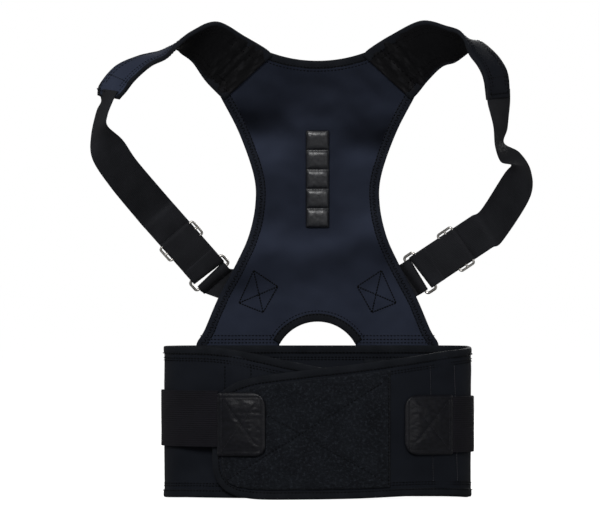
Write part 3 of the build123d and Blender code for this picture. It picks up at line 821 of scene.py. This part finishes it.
def flap_base(side, outline_of, place, stay_x, stay_height, waviness, seed, tape_seed, thread):
    """The cloth of a flap, its taped edge, and the stitching beside the tape on both faces."""
    def puff(s, z, face):
        channel = stay_height * bell(s - s_at(stay_x), 10, 4)
        return (channel if face > 0 else 0.0) + 0.3 * wobble(s, z, face, waviness, seed)

    body = cloth(f"{side}_flap_cloth", outline_of(1.0), place, THICK, BELT_KNIT, 4.0, puff, 0.5, -THICK / 2)
    finish_flap(body, side, "neoprene", f"{side}_flap")
    seam = -SEAM_S if side == "left" else SEAM_S
    outline = outline_of()
    start = next(i for i in range(len(outline))
                 if abs(outline[i].x - seam) < 0.5 and abs(outline[i - 1].x - seam) < 0.5)
    path = outline[start:] + outline[:start]
    edge = binding(f"{side}_flap_tape", path, place, TAPE, 8.5, 6.0, -THICK / 2, tape_seed)
    finish_flap(edge, side, "binding_tape", f"{side}_flap_binding")
    for off, sign in CLOTH_FACES:
        for inset in (ON_TAPE, *BESIDE_TAPE):
            extra = 0.9 if inset == ON_TAPE else 0.0
            line = [p for p in offset_path(resample(path, 3.0), inset) if abs(p.x - seam) > 2.0]
            thread.row(line[::sign], place, off + extra * sign)


def left_flap():
    thread = Thread()
    flap_base("left", left_flap_outline, LEFT_PLACE, LEFT_STAY_X, 0.7, 22, 8.0, 3.0, thread)
    for x in (LEFT_STAY_X - SLEEVE_HALF, LEFT_STAY_X + SLEEVE_HALF):
        for off in (0.8, -THICK - 1.9):
            thread.row([(s_at(x), 16), (s_at(x), 140)], LEFT_PLACE, off)
    sewn_channel("left_stay_sleeve", "left_stay_channel", LEFT_PLACE, s_at(LEFT_STAY_X), 11.0, 141.0,
                 -THICK - 1.2, "left_flap_body")

    def nap(s, z, face):
        return 0.25 * wobble(s, z, 0, 3.0, 2.0) if face > 0 else 0.0

    landing = rounded_rect(s_at(-46), s_at(9), 20, 122, 6)
    patch = cloth("left_landing_pile", landing, LEFT_PLACE, 1.0, PILE, 2.6, nap, 1.0, 0.6)
    attach(patch, "loop_cloth", "left_flap_body", "left_loop_panel")
    finish_flap(thread.finish("left_flap_stitches", THREAD), "left", "binding_tape")


def outer_pile(thread):
    """Loop pile over most of the outer flap, pressed in along two stitched diagonals."""
    left_s, right_s = s_at(-100.0), s_at(74.0)
    edge = [p for p in right_flap_outline(9.5) if p.x < right_s - 0.5]
    heights = [p.y for p in edge if p.x > right_s - 12]
    low_z, high_z = min(heights), max(heights)
    edge += [Vector((right_s, low_z)), Vector((right_s, high_z))]
    edge.sort(key=lambda p: math.atan2(p.y - 66, (p.x + 15) * 0.45))  # anticlockwise about the middle
    box = ((left_s + 8, 20), (right_s - 8, 20), (right_s - 8, 122), (left_s + 8, 112))

    def nap(s, z, face):
        if face < 0:
            return 0.0
        groove = 0.7 * bell(diagonal_distance(s, z, box), 1.8)
        return 0.5 * wobble(s, z, 0, 2.6, 6.0) + 0.45 * wobble(s, z, 0, 7.5, 9.0) - groove

    obj = cloth("outer_loop_pile", edge, RIGHT_PLACE, 1.6, PILE, 1.9, nap, 1.4, 0.9)
    attach(obj, "loop_cloth", "right_flap_body", "right_loop_panel")
    for a, b in ((0, 2), (1, 3)):
        thread.row([box[a], box[b]], RIGHT_PLACE, 1.45, 4.0, 2.8, 0.8)
    thread.row([(right_s - 2, low_z + 3), (right_s - 2, high_z - 3)], RIGHT_PLACE, 1.9)


def right_flap():
    thread = Thread()
    flap_base("right", right_flap_outline, RIGHT_PLACE, RIGHT_STAY_X, 0.8, 24, 12.0, 4.0, thread)
    stay_rows = Thread()
    for x in (RIGHT_STAY_X - 13, RIGHT_STAY_X + 13):
        for off in (0.9, -THICK - 1.9):
            stay_rows.row([(s_at(x) + 2, 18), (s_at(x) - 2, 139)], RIGHT_PLACE, off, 2.6, 2.3, 0.8)
    finish_flap(stay_rows.finish("right_stay_stitches", EDGE_THREAD), "right", "binding_tape")
    sewn_channel("right_stay_sleeve", "right_stay_channel", RIGHT_PLACE, s_at(RIGHT_STAY_X), 15.0, 145.0,
                 -THICK - 1.5, "right_flap_body")
    outer_pile(thread)
    patch = rounded_rect(s_at(-88), s_at(-50), 28, 102, 6)
    hook = cloth("outer_flap_hooks", patch, RIGHT_PLACE, 0.8, HOOK, 4.0, off=-THICK - 0.7)
    attach(hook, "hook_tape", "right_flap_body", "right_hook_patch")
    finish_flap(thread.finish("right_flap_stitches", THREAD), "right", "binding_tape")


# ---------- side pull straps and tabs
TAB_SEAM = 5.0  # from a tab's rim to its box of stitches


def ribs(width, pitch, depth):
    """Lengthwise ribs of an elastic, as a bump over v from 0 to 1."""
    return lambda u, v, face: depth * math.cos(2 * math.pi * v * width / pitch)


def pull_strap(side, lift, z0, z1, seam_x):
    """Ribbed elastic from its sewn root on the rear belt, round the side, to the tab's seam."""
    sign = -1 if side == "left" else 1
    width = z1 - z0

    def place(s, v, off):
        z = lerp(z0, z1, v)
        sag = 0.25 * wobble(s, z, 0, 30, 15.0)
        x, y = around(s, lift(s) + 0.9 + off + sag)
        return Vector((x, y, z)) * MM

    front_s = s_at(seam_x)
    rear_s = sign * (FRONT_LEN + SIDE_LEN + SIDE_X - PULL_SEWN_X)
    split_s = sign * (FRONT_LEN + SIDE_R * (math.pi / 2 - TURN)) + 2.0
    # Name, ends, the two bodies on either side, two distances behind the hinge, CAD nodes.
    parts = [("elastic", rear_s, front_s, "belt", "left_pull_body", 4, -4,
              ("left_pull_strap_root", "left_pull_strap"))]
    if side == "right":
        parts = [("elastic_rear", rear_s, split_s, "belt", "right_flap_body", 12, 3,
                  ("right_pull_strap_root",)),
                 ("elastic", split_s, front_s, "right_flap_body", "right_pull_body", 1, -6,
                  ("right_pull_strap",))]
    for name, s0, s1, near, far, y0, y1, nodes in parts:
        obj = strip(f"{side}_pull_{name}", place, even_steps(s0, s1, 3.0),
                    spread(width, width / 104, (0.3, 0.8)), width, 1.7, [RIBBED], ribs(width, 2.25, 0.13))
        attach(obj, "belt_elastic", None, *nodes)
        bend(obj, near, far)
    rows = Thread()
    for s in (rear_s - sign * 2.5, rear_s - sign * 9.0):
        rows.row([(s, 0.06), (s, 0.94)], place, 0.95, 3.0 / width, 2.2 / width, 0.8)
    attach(rows.finish(f"{side}_root_stitches", THREAD), "binding_tape", "belt")


def pull_tab(side, lift, x0, x1, z0, z1, radii):
    """Leatherette grip, puffed between the stitches of a box with a cross."""
    s0, s1 = s_at(x0), s_at(x1)
    left, right, low, high = s0 + TAB_SEAM, s1 - TAB_SEAM, z0 + TAB_SEAM, z1 - TAB_SEAM
    box = ((left, low), (right, low), (right, high), (left, high))

    def place(s, z, off):
        x, y = around(s, lift(s) + off + 0.3 * wobble(s, z, 0, 24, 21.0))
        return Vector((x, y, z)) * MM

    def puff(s, z, face):
        if face < 0:
            return 0.0
        rim = min(s - s0, s1 - s, z - z0, z1 - z)
        to_box = min(abs(s - left), abs(s - right), abs(z - low), abs(z - high))
        groove = bell(diagonal_distance(s, z, box), 1.9) if rim > TAB_SEAM else 0.0
        fill = smooth(rim / 4) * (1.0 + 1.3 * smooth((rim - TAB_SEAM) / 12))
        crease = 0.3 * wobble(s, z * 2.2, 0, 7, 31.0) * smooth((rim - 3) / 6)
        return fill + crease - 0.3 * groove - 0.35 * bell(to_box, 0.9)

    def on_surface(s, z, off):
        return place(s, z, off + 1.9 + puff(s, z, 1))

    outline = rounded_rect(s0, s1, z0, z1, radii)
    body = f"{side}_pull_body"
    tab = cloth(f"{side}_pull_grip", outline, place, 1.8, LEATHER, 1.2, puff, 1.0, 1.0)
    attach(tab, "leatherette", body, f"{side}_pull_tab")
    patch = rounded_rect(left, right, z0 + 6, z1 - 6, 6)
    hook = cloth(f"{side}_grip_hooks", patch, place, 0.8, HOOK, 5.0, off=-0.6)
    attach(hook, "hook_tape", body, f"{side}_tab_hook")
    thread = Thread()
    edge = [Vector(p) for p in [*outline, outline[0]]]
    thread.row(offset_path(edge, 2.6), on_surface, 0.0, 2.8, 2.0, 0.5)
    seam_s = left if side == "left" else right
    thread.row([(seam_s, low), (seam_s, high)], on_surface, 0.0, 2.8, 2.1, 0.7)
    for a, b in ((0, 2), (1, 3)):
        thread.row([box[a], box[b]], on_surface, 0.1, 2.8, 2.1, 0.6)
    attach(thread.finish(f"{side}_grip_stitches", TAB_THREAD), "leatherette", body)


# ---------- back panel
ARCH_HALF, ARCH_TOP, WAIST_Z, TUCK_Z = 40.5, 184.5, 160.5, 146.0
WAIST_ROWS = (161.5, 165.0, 169.0)
NECK_LOW = 457.5
PANEL_SIDE = ((128, TUCK_Z), (127, WAIST_Z), (119, 174), (104, 209), (85, 245), (72, 274), (65, 307),
              (66.5, 338), (82, 383), SEAM_OUT)
# The box stitch that holds the anchor webbing, seen from the front, and the pairs it is sewn between.
ANCHOR_BOX = ((67.5, 238), (42, 221), (57.5, 193.5), (83, 203.5))
BOX_SEAMS = ((0, 1), (1, 2), (2, 3), (3, 0), (1, 3), (0, 2))


def bow(half, end_z, middle_z, count):
    """Circle arc over the middle line, left to right, or right to left where it hangs below its ends."""
    rise = middle_z - end_z
    r = (half**2 + rise**2) / (2 * rise)
    cz = middle_z - r
    a = math.degrees(math.asin((end_z - cz) / r))
    return [Vector(p) for p in arc(0, cz, r, 180 - a, a, count)]


def fold_blend(obj):
    """Bakes a back panel piece's placement into its mesh."""
    bend(obj, "belt", "panel_body")


def back_panel():
    side = curve(PANEL_SIDE, 3.5)
    neck = bow(*SEAM_IN, NECK_LOW, 26)
    arch = bow(ARCH_HALF, WAIST_Z, ARCH_TOP, 30)
    far_side = [Vector((-p.x, p.y)) for p in reversed(side)]
    outline = (side + neck + far_side + [Vector((-ARCH_HALF, TUCK_Z))] + arch
               + [Vector((ARCH_HALF, TUCK_Z))])

    def uneven(x, z, face):
        return 0.25 * wobble(x, z, face, 12, 17.0)

    body = cloth("back_panel_cloth", outline, panel_place, THICK, NAVY, 4.0, uneven)
    attach(body, "neoprene", None, "back_panel")
    fold_blend(body)
    edges = (("side_right", side, 11.0, EDGE_TAPE), ("side_left", far_side, 11.0, EDGE_TAPE),
             ("neck", neck, 8.0, TAPE), ("arch", arch, 9.0, TAPE))
    thread = Thread()
    for name, path, width, tone in edges:
        obj = binding(f"panel_tape_{name}", path, panel_place, tone, width, 5.6, seed=len(name))
        attach(obj, "binding_tape", None, *(["back_panel_binding"] if name == "side_right" else []))
        fold_blend(obj)
        second = (5.0, 2.9, thread.zigzag) if tone is EDGE_TAPE else (width + 1.6, 2.2, thread.row)
        for face in (1, -1):
            for inset, off, sew in ((width - 2.0, 2.75, thread.row), second):
                line = [p for p in offset_path(resample(path, 3.0), inset) if p.y > 148]
                sew(line[::face], panel_place, off * face)
    for x0, x1 in ((44, 124), (-124, -44)):
        for z in WAIST_ROWS:
            for face in (1, -1):
                thread.row([(x0, z), (x1, z)][::face], panel_place, 2.35 * face)
    for sign in (1, -1):
        corners = [(sign * x, z) for x, z in ANCHOR_BOX]
        for a, b in BOX_SEAMS:
            thread.row([corners[a], corners[b]], panel_place, 2.2, 2.8, 2.6, 1.7)
    stitches = thread.finish("panel_stitches", THREAD)
    attach(stitches, "binding_tape", None)
    fold_blend(stitches)


def magnet_strip():
    """Quilted leatherette cover with a pillow over each magnet."""
    low = STRIP_TOP - STRIP_PITCH * STRIP_CELLS

    def pillow(x, z, face):
        if face < 0:
            return 0.0
        zc = abs(((STRIP_TOP - z) / STRIP_PITCH % 1.0) - 0.5) * 2
        xc = abs(x) / STRIP_HALF
        dome = max(0.0, 1 - xc**6) ** 0.7 * max(0.0, 1 - zc**4) ** 0.7
        pinch = 0.3 * math.cos(x * 2.2) * smooth((zc - 0.7) / 0.25) * (1 - xc)
        return 3.8 * dome + pinch * dome**0.3 + 0.2 * wobble(x, z, 0, 4, 41.0)

    outline = rounded_rect(-STRIP_HALF, STRIP_HALF, low, STRIP_TOP, 1.5)
    obj = cloth("magnet_cover", outline, panel_place, 1.2, COVER, 1.0, pillow, 0.8, 2.7)
    attach(obj, "leatherette", "panel_body", "magnet_strip")
    thread = Thread()
    heights = [STRIP_TOP - i * STRIP_PITCH for i in range(STRIP_CELLS + 1)]
    heights[0] -= 1.2
    heights[-1] += 1.2
    reach, side = STRIP_HALF - 1, STRIP_HALF - 1.3
    lines = [[(-reach, z), (reach, z)] for z in heights]
    lines += [[(x, low + 1), (x, STRIP_TOP - 1)] for x in (-side, side)]
    for line in lines:
        thread.row(line, panel_place, 3.6, 2.4, 1.8, 0.6)
    attach(thread.finish("magnet_stitches", TAB_THREAD), "leatherette", "panel_body")


# ---------- shoulder straps
# Edge pairs down each strap: for the pads the edge nearer the neck, then the edge nearer the arm;
# for the elastic the edge nearer the arm first.
PAD = {
    "left": [
        ((-48.5, -30.6, 463), (-97.5, -20, 418.5)),
        ((-54.5, -31.5, 469.5), (-104, -20.4, 424.5)),
        ((-76, -40, 482), (-118, -26, 439)),
        ((-105, -58, 497), (-131, -38, 457)),
        ((-130, -76, 486.5), (-143, -46, 466)),
        ((-146, -88, 473), (-151, -54, 471)),
        ((-158, -96, 460), (-166, -62, 465.5)),
        ((-174, -102, 451.5), (-187, -68, 460.5)),
        ((-190, -107, 437), (-210, -76, 450)),
        ((-200, -110, 424), (-226, -84, 431)),
        ((-207, -112, 416), (-228, -83, 420)),
    ],
    "right": [
        ((48.5, -30.6, 463), (97.5, -20, 418.5)),
        ((54.5, -31.5, 469.5), (104, -20.4, 424.5)),
        ((77, -40, 483.5), (116, -26, 439)),
        ((108.5, -58, 498), (131, -38, 453)),
        ((135, -66, 492), (145, -42, 457.5)),
        ((148, -80, 486), (157, -52, 466)),
        ((154, -92, 475), (168, -60, 476)),
        ((158.5, -100, 463), (181, -70, 467)),
        ((167, -106, 451), (191, -78, 455)),
        ((173, -110, 437), (197, -85, 441)),
        ((176, -113, 415), (198.5, -87.5, 418)),
    ],
}
ELASTIC = {
    "left": [
        ((-230, -81, 428), (-208, -111, 424)),
        ((-225, -86, 415), (-213.5, -113, 412.5)),
        ((-230, -80, 404), (-218.5, -116, 399)),
        ((-236, -81, 378), (-218, -116, 388)),
        ((-234.5, -88, 354), (-203, -100, 374)),
        ((-217, -74, 326), (-188, -78, 352)),
    ],
    "right": [
        ((200, -86, 427), (175, -113, 425)),
        ((200, -86, 415), (176, -115, 412)),
        ((199, -86, 403), (178.5, -117, 401.5)),
        ((197, -82, 386), (182.5, -118, 386)),
        ((194, -76, 371), (184.5, -113, 366)),
        ((211, -64, 361), (190, -96, 351)),
        ((223, -58, 341), (202, -88, 348)),
        ((222, -60, 314), (194, -70, 338)),
    ],
}
RING_AT = {"left": (-110.5, 2.0, 231.0), "right": (103.5, 2.0, 232.0)}
STRAP_UP = {"left": (-0.61, -0.37, 0.70), "right": (0.78, -0.34, 0.524)}
RING_PITCH = 12.5  # from the ring's inner bar to its outer one
PLY = 3.85  # from the strap's middle plane to each ply beside the ring
STRAIGHT_END = 101.0  # how far from the ring the strap runs straight
LAST_BAR = 63.0  # the adjuster's far bar, along the strap
PAD_WIDTH, WEB_WIDTH = 40.0, 38.0
ELASTIC_HALF, FOLD_HALF = 20.0, 19.0  # half widths of the strap, and of its fold and the anchor webbing
PAD_SEAM, PAD_END_SEAM = 17.0, 22.0  # rows across a pad, from its start and from its end
WEB_LINES = (0.4, 1.0)


class StrapFrame:
    """Axes at the ring's inner bar: along the strap, across it, and towards the front."""

    def __init__(self, side):
        self.origin = Vector(RING_AT[side])
        self.up = Vector(STRAP_UP[side]).normalized()
        self.across = Vector((self.up.z, 0, -self.up.x)).normalized()
        self.facing = self.up.cross(self.across)
        if self.facing.y > 0:
            self.facing = -self.facing
        if side == "left":
            self.across = -self.across

    def at(self, along, out=0.0):
        return self.origin + self.up * along + self.facing * out

    def pair(self, along, out, half=FOLD_HALF, upper_along=None):
        """Edge points at a place along the strap: the lower, outer edge first."""
        upper_along = along if upper_along is None else upper_along
        return (tuple(self.at(along, out) + self.across * half),
                tuple(self.at(upper_along, out) - self.across * half))


def swell(obj, sewn, pressure, limit):
    """Puffs a closed padded piece with a pressure cloth simulation, held where it is sewn."""
    mesh = obj.data
    rest = np.empty(len(mesh.vertices) * 3)
    mesh.vertices.foreach_get("co", rest)
    rest = rest.reshape(-1, 3)
    group = obj.vertex_groups.new(name="sewn")
    group.add(sewn, 1.0, "REPLACE")
    modifier = obj.modifiers.new("swell", "CLOTH")
    modifier.collision_settings.use_collision = False
    settings = modifier.settings
    settings.vertex_group_mass = "sewn"
    settings.quality = 4
    settings.mass = 0.02
    settings.tension_stiffness = settings.compression_stiffness = 8.0
    settings.bending_stiffness = 0.3
    settings.use_pressure = True
    settings.uniform_pressure_force = pressure
    settings.effector_weights.gravity = 0.0
    scene = bpy.context.scene
    for step in range(1, 21):
        scene.frame_set(step)
    shaped = obj.evaluated_get(bpy.context.evaluated_depsgraph_get()).to_mesh()
    moved = np.empty(len(shaped.vertices) * 3)
    shaped.vertices.foreach_get("co", moved)
    shift = moved.reshape(-1, 3) - rest
    size = np.linalg.norm(shift, axis=1)
    keep = np.minimum(1.0, limit / np.maximum(size, 1e-9))
    obj.modifiers.remove(modifier)
    obj.vertex_groups.remove(group)
    scene.frame_set(1)
    mesh.vertices.foreach_set("co", (rest + shift * keep[:, None]).ravel())
    mesh.update()


def finish_shoulder(obj, side, slot, *nodes):
    """Hides a pad piece's CAD nodes and bakes its placement into its mesh."""
    attach(obj, slot, None, *nodes)
    bend(obj, "panel_body", f"{side}_strap_body")


def shoulder_pad(side):
    rib = Ribbon(PAD[side])
    us = even_steps(0, rib.length, rib.length / 96)
    vs = spread(PAD_WIDTH, 2.2, (0.6, 1.4, 2.4))

    def crown(u, v, face):
        middle = (4 * v * (1 - v)) ** 0.5 * smooth(u / 14) * smooth((rib.length - u) / 10)
        folds = wobble(u * 1.6, v * 22, face, 9, 50.0) + 0.5 * wobble(u, v * 40, face, 4, 51.0)
        wrinkle = 1.5 * folds * bell(u - 28, 16)
        soft = 0.45 * wobble(u, v * 40, face, 18, 55.0)
        return face * (1.1 * middle - 0.9 * bell(u - PAD_SEAM, 2.2)) + wrinkle + soft

    def on_pad(u, w, off):
        return rib.place(u, w / PAD_WIDTH, off)

    faces = [LINING, NAVY] if side == "left" else [PAD_KNIT, LINING]
    pad = strip(f"{side}_shoulder_pad_cloth", rib.place, us, vs, PAD_WIDTH, 4.0, faces, crown, 1.6)
    held = []
    for i in range(2 * len(us) * len(vs)):
        u, v = us[i // len(vs) % len(us)], vs[i % len(vs)]
        if min(v, 1 - v) * PAD_WIDTH < 7 or u < PAD_SEAM + 1 or u > rib.length - PAD_END_SEAM:
            held.append(i)
    swell(pad, held, 13.0, 1.8 * MM)
    finish_shoulder(pad, side, "neoprene", f"{side}_shoulder_pad")
    thread = Thread()
    for edge, step in ((0, 1), (1, -1)):
        path = [(u, PAD_WIDTH * edge) for u in us][::step]
        tape_obj = binding(f"{side}_pad_tape_{edge}", path, on_pad, TAPE, 6.0, 5.2, seed=edge + 6.0)
        finish_shoulder(tape_obj, side, "binding_tape")
        for face in (1, -1):
            for inset, skip, off in ((4.6, 2, 2.7), (8.5, 6, 3.0)):
                w = PAD_WIDTH - inset if edge else inset
                thread.row([(u, w) for u in us[skip:-skip]], on_pad, off * face)
    for face in (1, -1):
        for u, off in ((PAD_SEAM, 2.2), (rib.length - 5, 3.0), (rib.length - PAD_END_SEAM, 3.0)):
            thread.row([(u, 3), (u, PAD_WIDTH - 3)], on_pad, off * face)
    finish_shoulder(thread.finish(f"{side}_pad_stitches", THREAD), side, "binding_tape")


def web_strip(name, rib, step, thick, material, surface, edge=0.8):
    return strip(name, rib.place, even_steps(0, rib.length, step), spread(WEB_WIDTH, 1.5, WEB_LINES),
                 WEB_WIDTH, thick, [material], surface, edge)


def elastic_strap(side):
    """Webbing from the pad's end to the ring, round its outer bar and a little way back."""
    f = StrapFrame(side)
    stations = list(ELASTIC[side])
    for along in (STRAIGHT_END, 88, 75, 62, 50, 38, 28, 21, 16.5, 13.8):
        stations.append(f.pair(along, -PLY, ELASTIC_HALF))
    for k in range(1, 12):
        a = math.pi * k / 12
        tight, loose = (RING_PITCH - reach * math.sin(a) for reach in (3.9, 6.9))
        stations.append(f.pair(tight, -PLY * math.cos(a), ELASTIC_HALF, loose))
    stations += [f.pair(along, PLY, ELASTIC_HALF) for along in (13.8, 16.5, 21, 27)]
    rib = Ribbon(stations)
    surface = ribs(WEB_WIDTH, 3.0, 0.08)

    def give(u, v, face):
        free = smooth((rib.length - 60 - u) / 40)
        return free * 0.9 * wobble(u, v * WEB_WIDTH, 0, 26, 60.0) + surface(u, v, face)

    obj = web_strip(f"{side}_elastic", rib, 2.0, 1.7, WEB, give)
    attach(obj, "shoulder_elastic", f"{side}_strap_body", f"{side}_elastic_strap")


def elastic_return(side):
    """The strap's doubled-back ply, from the ring up and over the adjuster's last bar."""
    f = StrapFrame(side)
    r = 2.3
    path = [(25.5, PLY), (30, PLY + 0.1), (36, PLY + 0.4), (43, PLY), (50, 2.9), (57, 2.5)]
    for k in range(8):
        a = math.radians(90 - 26 * k)
        path.append((LAST_BAR + r * math.cos(a), r * math.sin(a)))
    rib = Ribbon([f.pair(along, out) for along, out in path], 1.0)
    obj = web_strip(f"{side}_elastic_fold", rib, 1.2, 1.5, FOLD_WEB, ribs(WEB_WIDTH, 3.0, 0.08))
    attach(obj, "shoulder_elastic", None, f"{side}_strap_end")
    bend(obj, f"{side}_strap_body", f"{side}_slide_body")


def anchor_loop(side):
    """Webbing sewn behind the panel that passes round the ring's inner bar."""
    sign = -1 if side == "left" else 1
    f = StrapFrame(side)
    along = Vector((sign * 33.0, 0, 17.0)).normalized()
    across = Vector((-along.z, 0, along.x)) * -sign
    rear_y = PANEL_Y + 4.6
    stations = []
    for d in (-26, -10, 4, 12):
        mid = Vector((sign * 75.0, rear_y, 216.0)) + along * d
        stations.append((tuple(mid + across * FOLD_HALF), tuple(mid - across * FOLD_HALF)))
    stations += [f.pair(-7.0, -4.2), f.pair(-3.0, -3.0)]
    for k in range(7):
        a = math.radians(-90 + 30 * k)
        stations.append(f.pair(2.6 * math.cos(a), 2.5 * math.sin(a), upper_along=4.8 * math.cos(a)))
    stations += [f.pair(-3.5, 1.6), f.pair(-6.0, -0.8), f.pair(-8.5, -2.4)]
    rib = Ribbon(stations, 1.5)
    obj = web_strip(f"{side}_anchor_strap", rib, 1.6, 1.5, WEB, ribs(WEB_WIDTH, 3.0, 0.07), 0.7)
    attach(obj, "shoulder_elastic", None, f"{side}_anchor_webbing", f"{side}_anchor_loop")
    bend(obj, "panel_body", f"{side}_strap_body")

    def behind_patch(x, z, off):
        return Vector((x, rear_y - off, z)) * MM

    a, b, c, d = (Vector((sign * x, z)) for x, z in ANCHOR_BOX)
    corners = [a.lerp(c, 0.08), b.lerp(d, 0.12), a.lerp(c, 0.92), b.lerp(d, 0.95)]
    thread = Thread()
    for i, j in BOX_SEAMS:
        thread.row([corners[j], corners[i]], behind_patch, -0.85, 2.8, 2.2, 0.8)
    attach(thread.finish(f"{side}_anchor_stitches", THREAD), "shoulder_elastic", "panel_body")


# ---------- CAD pieces that stay visible
def finish_cad_nodes():
    for node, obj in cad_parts.items():
        if node.endswith(("_ring", "_slide")):
            finish = NICKEL
        elif "stay" in node or node == "magnets":
            finish = STEEL
        else:
            continue
        obj.data.materials.clear()
        obj.data.materials.append(finish)


# ---------- stage
FLOOR_REACH, FLOOR_DROP = 40000.0, 0.6
LAMPS = {  # place, aim and size in metres, power in watts
    "key": ((-0.5, -2.4, 1.5), (0, 0, 0.25), (0.9, 0.9), 64),
    "fill": ((1.3, -2.6, 0.7), (0, 0, 0.25), (1.6, 1.6), 16),
    "top": ((-0.2, -0.9, 2.4), (0, 0, 0.2), (1.2, 0.8), 12),
    "rear": ((0.7, 2.6, 1.5), (0, 0, 0.25), (1.4, 1.4), 60),
    "side_right": ((2.6, 0.5, 1.0), (0, 0, 0.25), (1.2, 1.2), 10),
    "side_left": ((-2.6, 0.5, 1.0), (0, 0, 0.25), (1.2, 1.2), 14),
}
CAMERA_AIM = (-0.0185, -0.035, 0.2505)  # metres; the camera looks straight back at it
CAMERA_DISTANCE, CAMERA_FIELD, SENSOR_WIDTH = 6.0, 0.630, 36.0


def camera_only(tree, socket, for_light, for_camera):
    """Drives a strength: for_camera where the camera looks, for_light for all other rays."""
    seen = tree.nodes.new("ShaderNodeLightPath")
    pick = tree.nodes.new("ShaderNodeMapRange")
    pick.inputs["To Min"].default_value = for_light
    pick.inputs["To Max"].default_value = for_camera
    tree.links.new(seen.outputs["Is Camera Ray"], pick.inputs["Value"])
    tree.links.new(pick.outputs[0], socket)


def stage():
    """Plain pale floor, soft studio light, and the camera."""
    scene = bpy.context.scene
    white = Shader("studio_white", use_uv=False)
    paper = white.mix(white.noise(60, 1.0), (0.34, 0.34, 0.34), (0.37, 0.37, 0.37))
    white.finish(paper, 0.9, 0.0, Emission_Color=(1, 1, 1))
    camera_only(white.mat.node_tree, white.bsdf.inputs["Emission Strength"], 0.0, 0.95)
    corners = [Vector((x * FLOOR_REACH, y * FLOOR_REACH, -FLOOR_DROP)) * MM
               for x, y in ((-1, -1), (1, -1), (1, 1), (-1, 1))]
    add_object("studio_floor", corners, [[0, 1, 2, 3]], [(0, 0)] * 4, [white.mat])

    for name, (place, aim, size, power) in LAMPS.items():
        data = bpy.data.lights.new(name, "AREA")
        data.shape = "RECTANGLE"
        data.size, data.size_y = size
        data.energy = power
        lamp = bpy.data.objects.new(name, data)
        lamp.location = place
        lamp.rotation_euler = (Vector(aim) - Vector(place)).to_track_quat("-Z", "Y").to_euler()
        lamp.visible_camera = False
        scene.collection.objects.link(lamp)

    scene.world = bpy.data.worlds.new("studio_world")
    scene.world.use_nodes = True
    background = scene.world.node_tree.nodes["Background"]
    background.inputs["Color"].default_value = (1, 1, 1, 1)
    camera_only(scene.world.node_tree, background.inputs["Strength"], 0.14, 1.0)

    lens = bpy.data.cameras.new("camera")
    lens.sensor_width = SENSOR_WIDTH
    lens.lens = SENSOR_WIDTH * CAMERA_DISTANCE / CAMERA_FIELD
    lens.clip_end = 100
    camera = bpy.data.objects.new("camera", lens)
    camera.location = Vector(CAMERA_AIM) - Vector((0, CAMERA_DISTANCE, 0))
    camera.rotation_euler = (math.radians(90), 0, 0)
    scene.collection.objects.link(camera)
    scene.camera = camera
    scene.view_settings.view_transform = "Standard"


# ---------- build
rear_belt()
left_flap()
right_flap()
pull_strap("left", left_strap_lift, 54.5, 113.0, -100.5)
pull_strap("right", right_strap_lift, 48.0, 106.5, 139.5)
pull_tab("left", left_strap_lift, -101.5, -52.5, 45.0, 111.5, (11, 14, 3, 3))
pull_tab("right", right_strap_lift, 88.5, 140.0, 46.0, 108.5, (3, 3, 14, 14))
back_panel()
magnet_strip()
for strap in ("left", "right"):
    shoulder_pad(strap)
    elastic_strap(strap)
    elastic_return(strap)
    anchor_loop(strap)
finish_cad_nodes()
stage()
